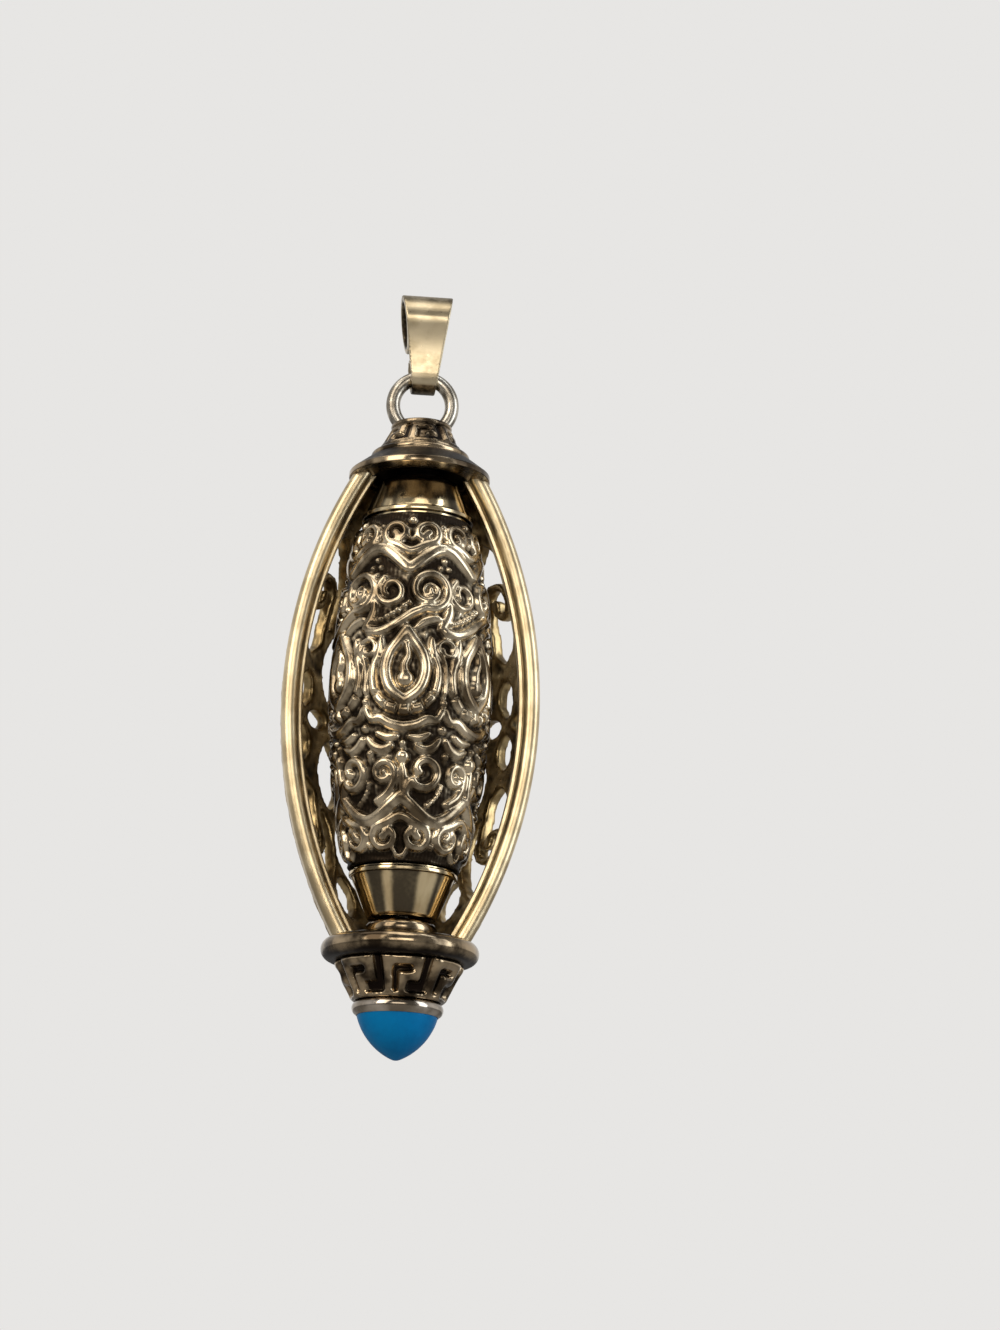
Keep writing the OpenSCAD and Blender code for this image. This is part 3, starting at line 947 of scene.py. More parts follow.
@dataclass(frozen=True)
class Relief:
    """The cast ornament of the drum, drawn once and repeated round it.

    Heights are counted from the drum's middle and places round it from the middle of a repeat.
    """

    repeats: int = 6
    mean_radius: float = 5.2
    first: float = -8.5
    garland_z: float = 8.1
    pair: Point = (1.4, 10.72)
    stretch: float = 1.22
    large_cloud: Point = (1.58, 6.42)
    small_cloud: Point = (-1.25, 6.45)
    groove: float = 0.1
    swell: float = 0.3
    cushion_height: float = 0.13
    field_margin: float = 0.4
    field_fade: float = 0.3
    grain_height: float = 0.035
    crown_flat: float = 2.6
    crown_round: float = 0.55

    @property
    def pitch(self) -> float:
        """Length of one repeat in millimetres."""
        return math.tau * self.mean_radius / self.repeats

    def border(self) -> list[Stroke]:
        """Garland with a pair of broad inward scrolls in each swag, at the upper end of the drum.

        Returns:
            The strokes of one repeat.
        """
        half, low = self.pitch / 2, self.garland_z
        swag = [(0.0, low), (0.55, low + 0.36), (1.3, low + 0.95), (2.05, low + 1.42), (half, low + 1.6)]
        garland = [(-x, z) for x, z in swag[:0:-1]] + swag
        stem = [(0.0, low + 1.28), (0.45, low + 1.42), (0.95, low + 1.68)]
        head = stem + volute(self.pair, (0.73, 0.74, 0.72, 0.6), -75, 300, self.stretch)
        hook = volute(self.pair, (0.44, 0.42, 0.34), 170, -235, self.stretch)
        x, z = self.pair
        side = [
            Stroke(curve(head, 4), 0.36, 0.44, 0.36),
            Stroke(((x - 0.16, z), (x + 0.16, z)), 0.84, 0.45),
            Stroke(curve(hook, 3), 0.115, cut=True),
        ]
        return [Stroke(curve(garland), 0.5, 0.46), *side, *(stroke.mirrored() for stroke in side)]

    def upper_buds(self) -> list[Stroke]:
        """Cups between the upper scrolls and clusters of beads under the garland's peaks.

        Returns:
            The strokes of one repeat.
        """
        half = self.pitch / 2
        cup = curve([(-0.3, 11.05), (-0.27, 10.5), (0.0, 10.24), (0.27, 10.5), (0.3, 11.05)])
        return [
            Stroke(cup, 0.15, 0.36),
            bead(0.0, 11.75, 0.33, 0.38),
            bead(half, 11.35, 0.24, 0.36),
            bead(half, 8.72, 0.24, 0.36),
            bead(half - 0.36, 8.16, 0.22, 0.34),
            bead(half + 0.36, 8.16, 0.22, 0.34),
            bead(half + 0.1, 7.62, 0.2, 0.32),
        ]

    def upper_clouds(self) -> list[Stroke]:
        """Two cloud spirals, the larger one with a ball in its eye and a long tail.

        Returns:
            The strokes of one repeat.
        """
        x, z = self.large_cloud
        large = [(-2.75, 3.5), (-2.0, 3.42), (-1.2, 3.68), (-0.4, 4.2), (0.25, 4.68), (0.85, 4.98)]
        large += volute(self.large_cloud, (1.29, 1.3, 1.3, 1.25, 1.05, 0.6, 0.42), -105, 480)
        hook = volute(self.large_cloud, (0.36, 0.34, 0.24), 205, -220)
        small = volute(self.small_cloud, (1.1, 1.08, 0.92, 0.62, 0.56, 0.5), 125, 450)
        return [
            Stroke(curve(large, 4), 0.41, 0.48, 0.3),
            Stroke(curve(small, 3), 0.31, 0.43, 0.25),
            Stroke(curve([(2.25, 3.6), (2.72, 4.25), (2.98, 4.9), (3.02, 5.6)]), 0.42, 0.42, leaf=True),
            Stroke(curve([(0.55, 3.6), (1.15, 4.12), (1.8, 4.36), (2.3, 4.4)]), 0.38, 0.4, leaf=True),
            bead(x, z, 0.64, 0.5),
            Stroke(curve(hook, 3), 0.115, cut=True),
            *beads([(-2.3, 4.15), (-1.5, 4.45), (-0.75, 4.92), (0.05, 5.5)], 0.25),
        ]

    def jewel(self) -> list[Stroke]:
        """Flaming jewel on a lotus, the drum's main motif.

        Returns:
            The strokes of one repeat.
        """
        flame = [(0.0, 3.5), (-0.5, 2.75), (-1.12, 1.75), (-1.32, 0.6), (-0.95, -0.65), (0.0, -1.55)]
        lick = [(0.0, -2.2), (-1.1, -1.92), (-1.9, -1.12), (-2.2, 0.0), (-2.15, 0.9), (-1.85, 1.6)]
        petal = [(0.0, -3.35), (-0.85, -3.15), (-1.6, -2.72), (-2.25, -2.75), (-2.6, -2.1)]
        side = [
            Stroke(curve(flame), 0.46, 0.52, 0.48),
            Stroke(curve(lick), 0.42, 0.46, 0.3),
            Stroke(curve(petal), 0.46, 0.42, 0.3),
            Stroke(((-0.42, -1.9), (-0.5, -2.6)), 0.09, cut=True),
            Stroke(((-1.15, -1.55), (-1.5, -2.2)), 0.09, cut=True),
            Stroke(((-1.75, -0.9), (-2.35, -1.3)), 0.09, cut=True),
        ]
        heart = Stroke(curve([(0.0, 2.5), (0.16, 1.7), (-0.1, 0.95), (0.0, 0.3)]), 0.2, 0.46, 0.42)
        return side + [stroke.mirrored() for stroke in side] + [heart, bead(0.0, 0.0, 0.66, 0.54)]

    def vine(self) -> list[Stroke]:
        """Curl with two leaves between two jewels.

        Returns:
            The strokes of one repeat.
        """
        half = self.pitch / 2
        stem = [(half, -0.9), (half + 0.02, 0.1), (half - 0.05, 1.1)]
        stem += volute((half + 0.02, 2.25), (0.6, 0.62, 0.55, 0.25), 230, -400)
        leaf = curve([(0.5, 1.25), (0.92, 2.0), (1.0, 3.0)])
        sides = [tuple((half + way * x, z) for x, z in leaf) for way in (-1, 1)]
        return [
            Stroke(curve(stem, 4), 0.2, 0.42, 0.22),
            *(Stroke(side, 0.34, 0.4, leaf=True) for side in sides),
            bead(half, 3.25, 0.26, 0.38),
            bead(half, -1.55, 0.3, 0.4),
            bead(half, -3.4, 0.34, 0.4),
        ]

    def lower_clouds(self) -> list[Stroke]:
        """Two cloud curls and a hanging drop under the main motif.

        Returns:
            The strokes of one repeat.
        """
        (x, z), (u, v) = ((x, -z) for x, z in (self.large_cloud, self.small_cloud))
        large = [(0.25, -7.95), (0.42, -7.45)] + volute((x, z), (1.03, 1.04, 1.0, 0.82, 0.45), 215, 330)
        small = [(-1.8, -8.4), (-1.05, -7.9), (-0.6, -7.15)]
        small += volute((u, v), (0.7, 0.7, 0.62, 0.46), -10, 330)
        left = [(-0.7, -4.6), (-1.35, -4.9), (-2.05, -4.65), (-2.5, -4.05)]
        right = [(0.85, -4.6), (1.5, -4.9), (2.15, -4.65), (2.55, -4.05)]
        drop = [(0.0, -5.9), (0.1, -6.6), (0.1, -7.2), (0.05, -7.9)]
        inner = Stroke(curve([(0.35, -4.0), (1.1, -4.08), (1.85, -3.72)]), 0.32, 0.38, leaf=True)
        return [
            Stroke(curve(large, 4), 0.38, 0.46, 0.32),
            Stroke(curve(small, 4), 0.33, 0.43, 0.28),
            Stroke(curve(left), 0.4, 0.4, leaf=True),
            Stroke(curve(right), 0.4, 0.4, leaf=True),
            inner,
            inner.mirrored(),
            Stroke(curve(drop), 0.42, 0.44, 0.36, leaf=True),
            bead(0.0, -5.42, 0.54, 0.54),
            bead(0.0, -4.5, 0.3, 0.4),
            bead(x - 0.32, z + 0.02, 0.32, 0.46),
            bead(u, v, 0.27, 0.42),
            bead(-2.36, -5.2, 0.28, 0.4),
            *beads([(2.98, -7.2), (2.8, -7.75), (2.45, -8.25), (2.0, -8.6)], 0.18),
        ]

    def lower_border(self) -> list[Stroke]:
        """The upper border turned over, with a crescent and a bead beside its scrolls.

        Returns:
            The strokes of one repeat.
        """
        half = self.pitch / 2
        crescent = curve([(-0.55, -11.6), (-0.32, -11.95), (0.0, -12.05), (0.32, -11.95), (0.55, -11.6)])
        turned_over = [stroke.turned_over() for stroke in self.border()]
        return turned_over + [Stroke(crescent, 0.18, 0.4), bead(half, -11.35, 0.24, 0.36)]

    def strokes(self) -> list[Stroke]:
        """Every stroke of one repeat, the cuts last.

        Returns:
            The strokes in the order of work.
        """
        parts = (
            self.border,
            self.upper_buds,
            self.upper_clouds,
            self.jewel,
            self.vine,
            self.lower_clouds,
            self.lower_border,
        )
        return sorted((stroke for part in parts for stroke in part()), key=lambda stroke: stroke.cut)

    def grain(self, along: np.ndarray, up: np.ndarray) -> np.ndarray:
        """Height of the rough ground between the strokes.

        Args:
            along: place round the drum in millimetres at the mean radius.
            up: height above the drum's middle in millimetres.

        Returns:
            The height at each point in millimetres.
        """
        turn = math.tau * along / self.pitch
        waves = np.sin(9 * turn + 5.3 * up) * np.sin(7 * turn - 6.1 * up + 1.4 * np.sin(2.3 * up))
        return self.grain_height + self.grain_height * waves

    def cushion(self, gap: np.ndarray, up: np.ndarray) -> np.ndarray:
        """Height of the swellings that fill the wider gaps of the middle field.

        Args:
            gap: distance from the nearest stroke's edge in millimetres.
            up: height above the drum's middle in millimetres.

        Returns:
            The height above the rough ground at each point in millimetres.
        """
        rise = clamp((gap - self.groove) / self.swell)
        share = clamp((self.garland_z - self.field_margin - np.abs(up)) / self.field_fade)
        return self.cushion_height * share * rise * rise * (3.0 - 2.0 * rise)

    def height(self, along: np.ndarray, up: np.ndarray, narrow: np.ndarray) -> np.ndarray:
        """Height of the relief at points of the unrolled face.

        Args:
            along: place round the drum in millimetres at the mean radius.
            up: height above the drum's middle in millimetres.
            narrow: the drum's radius there as a share of the mean radius.

        Returns:
            The height above the ground at each point in millimetres.
        """
        found = self.grain(along, up)
        gap = np.full(len(along), np.inf)
        for stroke in self.strokes():
            points = np.array(stroke.points)
            widths = stroke.widths()
            reach = widths.max()
            near = (up > points[:, 1].min() - reach) & (up < points[:, 1].max() + reach)
            x, z, scale = along[near], up[near], narrow[near]
            share = np.full(len(x), np.inf)
            apart = np.full(len(x), np.inf)
            for shift in (-self.pitch, 0.0, self.pitch):
                for (ax, az), (bx, bz), w0, w1 in zip(points, points[1:], widths, widths[1:]):
                    dx, dz = (bx - ax) * scale, bz - az
                    px, pz = (x - ax - shift) * scale, z - az
                    t = clamp((px * dx + pz * dz) / (dx * dx + dz * dz + 1e-12))
                    off, wide = np.hypot(px - t * dx, pz - t * dz), w0 + (w1 - w0) * t
                    share = np.minimum(share, off / wide)
                    apart = np.minimum(apart, off - wide)
            if stroke.cut:
                found[near] *= clamp(share) ** 2
            else:
                crown = stroke.height * clamp(1.0 - share**self.crown_flat) ** self.crown_round
                found[near] = np.maximum(found[near], crown)
                gap[near] = np.minimum(gap[near], apart)
        return found + self.cushion(gap, up)


@dataclass
class Drum:
    """The turning drum: relief barrel, two plain caps and what they hold."""

    shop: Workshop
    relief: Relief = field(default_factory=Relief)
    columns: int = 360
    rows: int = 250
    face_radius: float = 5.4
    end_radius: float = 3.85
    end_margin: float = 0.3
    plug_radius: float = 3.05
    ground: float = -0.12
    ground_stain: float = 0.97
    worn_height: float = 0.4
    worn_most: float = 1.1
    worn_power: float = 0.8
    cap_bore: float = 0.66
    cap_plug: float = 3.0
    cap_seat: float = 3.6
    plug_length: float = 1.2
    lip_foot: float = 0.2
    lip_top: float = 0.5
    groove_top: float = 0.52
    groove_depth: float = 0.17
    cap_edge: float = 0.12
    cap_round: float = 0.07
    upper_end: float = 2.85
    lower_end: float = 2.45
    # Angles of the painted dark reflection bands on each cap, with their blur and depth.
    upper_reflection_bands: tuple[Point, ...] = ((-90.0, -44.0), (-35.0, -27.0), (30.0, 46.0), (66.0, 90.0))
    lower_reflection_bands: tuple[Point, ...] = ((-50.0, -28.0), (-18.0, 15.0), (37.0, 47.0), (76.0, 90.0))
    reflection_band_blur: float = 8.0
    reflection_band_depth: float = 0.62

    def build(self) -> None:
        """Makes and dresses the drum's pieces."""
        self.shop.fit(self.barrel(), "drum_body", RELIEF, Body.DRUM, Slot.ANTIQUE)
        self.cap("upper_drum_cap", 1.0, self.upper_end, self.upper_reflection_bands)
        self.cap("lower_drum_cap", -1.0, self.lower_end, self.lower_reflection_bands)
        self.shop.dress("spool_tube", PIN)
        self.shop.dress("paper_roll", PAPER)

    def barrel(self) -> Mesh:
        """Spins the barrel and raises the relief on it.

        Returns:
            The new mesh, with its cavities stored.
        """
        foot, top, _ = span("drum_body")
        middle, wide = (top + foot) / 2, self.face_radius
        bow = bow_radius((top - foot) / 2, wide - self.end_radius)
        levels = np.linspace(top, foot, self.rows)
        radii = wide - bow + np.sqrt(bow * bow - (levels - middle) ** 2)
        outline = [(self.plug_radius, top), *zip(radii, levels), (self.plug_radius, foot)]
        bm = bmesh.new()
        add_profile(bm, outline, closed=True)
        spin_round(bm, self.columns)
        mesh = to_mesh(bm, "barrel")
        where = places(mesh) / MM
        spread, up = spread_of(where), where[:, 2] - middle
        face = spread > self.plug_radius + self.end_margin
        angle = np.arctan2(where[:, 1], where[:, 0]) + math.pi / 2 - math.radians(self.relief.first)
        along = (angle * self.relief.mean_radius) % self.relief.pitch
        along = np.where(along > self.relief.pitch / 2, along - self.relief.pitch, along)
        raised = self.relief.height(along, up, spread / self.relief.mean_radius)
        raised = np.where(face, raised, 0.0)
        fade = clamp(np.minimum(top - where[:, 2], where[:, 2] - foot) / self.end_margin)
        grown = spread + np.where(face, self.ground * fade + raised, 0.0)
        where[:, :2] *= (grown / spread)[:, None]
        move_to(mesh, where * MM)
        smooth(mesh, 1)
        worn = np.clip(raised / self.worn_height, 0.0, self.worn_most)[:, None] ** self.worn_power
        store_stain_and_shade(mesh, self.ground_stain - evened(worn, edge_ends(mesh), 1)[:, 0])
        return mesh

    def cap(self, node: str, way: float, end: float, reflection_bands: Sequence[Point]) -> None:
        """Turns a plain cap with its lip, groove and tapered band, and paints dark upright reflection
        bands on it.

        Args:
            node: the cap's node.
            way: 1 if the band stands up from the barrel, -1 if it hangs down.
            end: radius of the band's end.
            reflection_bands: first and last angle of each painted dark reflection band.
        """
        foot, top, lip = span(node)
        tip, plug = (top, foot) if way > 0 else (foot, top)
        seat = plug + way * self.plug_length
        profile = [
            (self.cap_bore, plug),
            (self.cap_plug, plug),
            (self.cap_plug, seat),
            (self.cap_seat, seat),
            (self.cap_seat, seat + way * self.lip_foot),
            (lip, seat + way * self.lip_foot),
            (lip, seat + way * self.lip_top),
            (lip - self.groove_depth, seat + way * self.groove_top),
            (end, tip - way * self.cap_edge),
            (end - self.cap_edge, tip),
            (self.cap_bore, tip),
        ]
        mesh = turned(node, profile, self.cap_round)
        # Painted reflection: dark upright bands on the cap that stand for reflections.
        darken(mesh, self.painted_reflection_bands(places(mesh) / MM, reflection_bands))
        self.shop.fit(mesh, node, CAPS, Body.DRUM, Slot.POLISHED)

    def painted_reflection_bands(self, where: np.ndarray, reflection_bands: Sequence[Point]) -> np.ndarray:
        """Painted reflection: dark upright stripes down a cap that stand for reflected dark
        surroundings.

        Args:
            where: places on the cap in millimetres.
            reflection_bands: first and last angle of each stripe in degrees from the front, over half a
                turn.

        Returns:
            The share to darken at each place.
        """
        angle = np.degrees(np.arctan2(where[:, 0], -where[:, 1]))
        angle = (angle + 90.0) % 180.0 - 90.0
        share = np.zeros(len(where))
        for first, last in reflection_bands:
            inside = np.minimum(angle - first, last - angle) / self.reflection_band_blur
            share = np.maximum(share, clamp(0.5 + inside))
        return self.reflection_band_depth * share


@dataclass(frozen=True)
class KeyBand:
    """The raised key pattern of one cone.

    Its foot and its top are given by how far they lie inside the cone's own ends, and by the outer
    radius there. Its ground lies deeper by the depth.
    """

    node: str
    voxel: float
    rounds: int
    foot: Point
    top: Point
    depth: float


@dataclass
class Cage:
    """The fixed body: pierced shell, polished rims, collars, key cones, stone and axle."""

    shop: Workshop
    bore: float = 0.62
    end_radius: float = 4.75
    rim_width: float = 1.15
    rim_depth: float = 1.5
    rim_overrun: float = math.radians(1.0)
    rim_crease: float = math.radians(40)
    ledge_width: float = 0.3
    ledge_depth: float = 0.7
    ledge_round: float = 0.1
    loop_radius: float = 2.1
    loop_sunk: float = 0.15
    wire_radius: float = 0.5
    shell_voxel: float = 0.152
    skin_size: float = 0.9
    skin_depth: float = 0.06
    skin_stain: float = 0.32
    key_bands: tuple[KeyBand, ...] = (
        KeyBand("top_cap", voxel=0.055, rounds=6, foot=(0.3, 2.8), top=(0.45, 2.02), depth=0.14),
        KeyBand("key_cup", voxel=0.07, rounds=20, foot=(0.0, 3.05), top=(0.0, 4.35), depth=0.28),
    )
    key_margin: float = 0.02
    key_wall: float = 0.6
    key_outside: float = 0.3
    key_stain: Point = (0.1, 0.78)
    key_blur: float = 0.9
    key_plain: float = 0.45
    bar_rounds: int = 40
    bar_round: float = 3.2
    bar_level: float = 0.3
    bar_swell: float = 0.07
    collar_hub: float = 1.6
    collar_hollow: float = 3.3
    hollow_depth: float = 0.5
    hollow_margin: float = 0.1
    flange_edge: float = 0.4
    # Painted dark reflection on the collar's flange, and painted shade under the collar's hollow and the
    # discs' lower halves.
    flange_fade: Point = (0.25, 0.3)
    flange_shade: Point = (0.05, 0.3)
    neck_radius: float = 3.6
    neck_drop: float = 0.48
    bead_place: float = 3.25
    bead_radius: float = 0.25
    bead_drop: float = 0.45
    underside_shade: float = 0.6
    underside_reach: float = 0.1
    bezel_edge: float = 0.525
    bezel_wall: float = 0.35
    bezel_seat: float = 0.7

    def build(self) -> None:
        """Makes and dresses the cage's pieces."""
        self.shell()
        self.rim("left_rim", -1.0)
        self.rim("right_rim", 1.0)
        self.loop()
        for band in self.key_bands:
            self.key_cone(band)
        self.top_collar()
        self.round_disc("base_collar")
        self.round_disc("lower_bush")
        self.bezel()
        self.stone()
        self.shop.dress("axle", PIN)
        self.shop.dress("top_washer", PIN)

    def shell(self) -> None:
        """Casts the pierced half shell with soft edges and a rough skin."""
        mesh = cast_copy("cage_shell", self.shell_voxel, 4)
        measure_cavity(mesh, 14, 0.12)
        where = places(mesh)
        scaled = where / (self.skin_size * MM)
        rough = np.array([noise.fractal(Vector(at), 1.0, 2.0, 3) for at in scaled])
        move_to(mesh, where + (self.skin_depth * MM * rough)[:, None] * vertex_normals(mesh))
        darken(mesh, -self.skin_stain * rough)
        self.shop.fit(mesh, "cage_shell", SHELL, Body.CAGE, Slot.SHELL)

    def key_cone(self, band: KeyBand) -> None:
        """Casts a cone with its raised key pattern, rounds the bars and stains the ground.

        Args:
            band: the pattern of the cone.
        """
        mesh = cast_copy(band.node, band.voxel, band.rounds)
        where = places(mesh) / MM
        low, high, _ = span(band.node)
        foot, top = low + band.foot[0], high - band.top[0]
        face = np.interp(where[:, 2], (foot, top), (band.foot[1], band.top[1]))
        spread = spread_of(where)
        sunk = (face - spread) / band.depth
        inside = (where[:, 2] > foot + self.key_margin) & (where[:, 2] < top - self.key_margin)
        outer = inside & (spread > self.key_wall * face)
        ground = np.where(inside, clamp(sunk), self.key_outside)
        near = evened(ground[:, None], edge_ends(mesh), self.bar_rounds)[:, 0]
        slope = self.bar_round * band.depth * (near - self.bar_level) * (1.0 - ground)
        drop = np.where(outer, slope, 0.0)
        outward = np.column_stack((where[:, :2] / spread[:, None], np.zeros(len(where))))
        normals = vertex_normals(mesh)
        sideways = normals - np.einsum("ij,ij->i", normals, outward)[:, None] * outward
        where += np.where(outer, self.bar_swell, 0.0)[:, None] * sideways
        where[:, :2] -= drop[:, None] * outward[:, :2]
        move_to(mesh, where * MM)
        least, more = self.key_stain
        stain = least + more * np.maximum(sunk, self.key_blur * near)
        store_stain_and_shade(mesh, np.where(inside, stain, self.key_plain))
        self.shop.fit(mesh, band.node, CAST, Body.CAGE, Slot.ANTIQUE)

    def rim(self, node: str, side: float) -> None:
        """Sweeps a polished rim with its inner ledge along the cage's arc.

        Args:
            node: the rim's node.
            side: 1 for the right rim, -1 for the left one.
        """
        low, high = box_mm(node)
        wide = max(abs(low[0]), abs(high[0]))
        foot, top = low[2], high[2]
        half, middle = (top - foot) / 2, (top + foot) / 2
        bow = bow_radius(half, wide - self.end_radius)
        inner = wide - self.rim_width
        ledge = inner - self.ledge_width
        front = self.rim_depth - self.rim_width / 2
        outline = [(ledge, 0.0), (ledge, -self.ledge_depth), (inner, -self.ledge_depth)]
        outline += arc((wide - self.rim_width / 2, -front), self.rim_width / 2, 180, 360, 17)
        outline += [(wide, 0.0)]
        bm = bmesh.new()
        verts = add_profile(bm, outline, closed=True)
        round_corners(bm, verts[1:3], self.ledge_round)
        laid = Matrix.Rotation(math.radians(-90), 3, "X")
        bmesh.ops.rotate(bm, verts=bm.verts[:], cent=(0, 0, 0), matrix=laid)
        bmesh.ops.translate(bm, verts=bm.verts[:], vec=(0, 0, middle * MM))
        pivot = Vector((wide - bow, 0.0, middle)) * MM
        reach = math.asin(half / (bow - self.rim_width - self.ledge_width)) + self.rim_overrun
        start = Matrix.Rotation(-reach, 3, "Y")
        bmesh.ops.rotate(bm, verts=bm.verts[:], cent=pivot, matrix=start)
        spin(bm, pivot, (0, 1, 0), 2 * reach, 150)
        for height, away in ((top, 1.0), (foot, -1.0)):
            bmesh.ops.bisect_plane(
                bm,
                geom=bm.verts[:] + bm.edges[:] + bm.faces[:],
                plane_co=(0, 0, height * MM),
                plane_no=(0, 0, away),
                clear_outer=True,
            )
        seal(bm, mirror=side < 0)
        mesh = to_mesh(bm, node)
        mesh.set_sharp_from_angle(angle=self.rim_crease)
        measure_cavity(mesh, 6, 0.05)
        self.shop.fit(mesh, node, RIM, Body.CAGE, Slot.POLISHED)

    def loop(self) -> None:
        """Bends the round wire of the hanging loop and sinks its feet into the cap."""
        centre_z = span("hanging_loop")[1] - self.loop_radius - self.wire_radius
        sunk = math.asin((centre_z - span("top_cap")[1] + self.loop_sunk) / self.loop_radius)
        bm = bmesh.new()
        bmesh.ops.create_circle(bm, segments=40, radius=self.wire_radius * MM)
        bmesh.ops.translate(bm, verts=bm.verts[:], vec=(self.loop_radius * MM, 0, centre_z * MM))
        pivot = Vector((0, 0, centre_z)) * MM
        bmesh.ops.rotate(bm, verts=bm.verts[:], cent=pivot, matrix=Matrix.Rotation(sunk, 3, "Y"))
        spin(bm, pivot, (0, 1, 0), -(math.pi + 2 * sunk), 96)
        seal(bm)
        mesh = to_mesh(bm, "hanging_loop")
        measure_cavity(mesh, 4, 0.2)
        self.shop.fit(mesh, "hanging_loop", ANTIQUE, Body.CAGE, Slot.ANTIQUE)

    def top_collar(self) -> None:
        """Turns the flared collar with its bead and hollow underside, with painted shade in the hollow
        and a painted dark reflection up the flange's slope.
        """
        foot, top, wide = span("top_collar")
        ceiling, hollow_edge = foot + self.hollow_depth, self.collar_hollow + self.hollow_margin
        profile = [(self.bore, foot), (self.collar_hub, foot), (self.collar_hub, ceiling)]
        profile += [(self.collar_hollow, ceiling), (self.collar_hollow, foot)]
        profile += [(wide, foot), (wide, foot + self.flange_edge)]
        profile += [(self.neck_radius, top - self.neck_drop)]
        profile += arc((self.bead_place, top - self.bead_radius), self.bead_radius, -40, 90, 9)
        profile += [(self.bore, top)]
        mesh = turned("top_collar", profile, radius=0.08)
        where = places(mesh) / MM
        spread, height = spread_of(where), where[:, 2]
        flange = (height < top - self.bead_drop) & (spread > hollow_edge)
        hollow = (height < ceiling + self.hollow_margin) & (spread < hollow_edge)
        start, length = self.flange_fade
        least, more = self.flange_shade
        stain = least + more * clamp((height - foot - start) / length)
        # Painted shade in the hollow underside and a painted dark reflection that grows up the flange's
        # slope.
        darken(mesh, np.where(hollow, self.underside_shade, np.where(flange, stain, 0.0)))
        self.shop.fit(mesh, "top_collar", CAST, Body.CAGE, Slot.ANTIQUE)

    def round_disc(self, node: str) -> None:
        """Turns a flat disc with a full round edge and painted shade on its lower half.

        Args:
            node: the disc's node.
        """
        foot, top, wide = span(node)
        edge = (top - foot) / 2
        rounded = arc((wide - edge, foot + edge), edge, -90, 90, 25)
        mesh = turned(node, [(self.bore, foot), *rounded, (self.bore, top)])
        sunk = (foot + edge - places(mesh)[:, 2] / MM) / edge
        # Painted shade: the disc darkens from just above its middle downward.
        darken(mesh, self.underside_shade * clamp(sunk + self.underside_reach))
        self.shop.fit(mesh, node, CAST, Body.CAGE, Slot.ANTIQUE)

    def bezel(self) -> None:
        """Turns the smooth band that grips the stone."""
        foot, top, wide = span("bezel")
        edge, inner, seat = self.bezel_edge, wide - self.bezel_wall, foot + self.bezel_seat
        profile = [(0.0, seat), (inner, seat), (inner, foot)]
        profile += arc((wide - edge, foot + edge), edge, -65, 90, 21) + [(0.0, top)]
        mesh = turned("bezel", profile, radius=0.04, closed=False)
        self.shop.fit(mesh, "bezel", POLISHED, Body.CAGE, Slot.POLISHED)

    def stone(self) -> None:
        """Casts the blunt stone with soft edges."""
        mesh = cast_copy("stone_tip", 0.07, 8)
        self.shop.fit(mesh, "stone_tip", TURQUOISE, Body.CAGE, Slot.STONE)


@dataclass
class Bail:
    """The rolled strip that the cage hangs on."""

    shop: Workshop
    voxel: float = 0.05
    bow: float = -0.14
    front: float = -0.35
    roll_radius: float = 2.1
    eye_radius: float = 1.21
    inset: float = 0.1
    fade: float = 0.3
    under_drop: float = 0.45
    under_fade: float = 0.4
    fold_start: float = 0.4
    fold_shade: float = 0.82
    plain: float = 0.3

    def build(self) -> None:
        """Casts the strip with soft edges, bows its front leaf and paints shade inside its roll and eye,
        on the lower part of its eye and along the top of its roll.
        """
        mesh = cast_copy("bail", self.voxel, 8)
        where = places(mesh) / MM
        hinge = span("bail")[0] + self.eye_radius
        bowed = self.bow * np.sin(math.pi * clamp(where[:, 2] / hinge))
        where[:, 1] -= np.where(where[:, 1] < self.front, bowed, 0.0)
        move_to(mesh, where * MM)
        deep, up = where[:, 1], where[:, 2]
        # Painted shade: darker inside the roll and the eye, on the lower part of the eye and along the
        # top of the roll.
        painted_shades = (
            clamp((self.roll_radius - self.inset - np.hypot(deep, up)) / self.fade),
            clamp((self.eye_radius - self.inset - np.hypot(deep, up - hinge)) / self.fade),
            clamp((hinge - self.under_drop - up) / self.under_fade),
            self.fold_shade * clamp(up - self.fold_start),
        )
        store_stain_and_shade(mesh, self.plain + (1.0 - self.plain) * np.max(painted_shades, axis=0))
        self.shop.fit(mesh, "bail", CHAMPAGNE, Body.BAIL, Slot.BAIL)


@dataclass(frozen=True)
class Lamp:
    """A soft box of the studio."""

    name: str
    place: tuple[float, float, float]
    size: tuple[float, float]
    power: float
    colour: Colour

    def light(self, target: Vector) -> None:
        """Hangs the lamp and points it at a place.

        Args:
            target: the place.
        """
        data = bpy.data.lights.new(self.name, "AREA")
        data.shape = "RECTANGLE"
        data.size, data.size_y = self.size
        data.energy = self.power
        data.color = self.colour
        lamp = add_object(self.name, data)
        lamp.location = self.place
        lamp.rotation_euler = (target - Vector(self.place)).to_track_quat("-Z", "Y").to_euler()


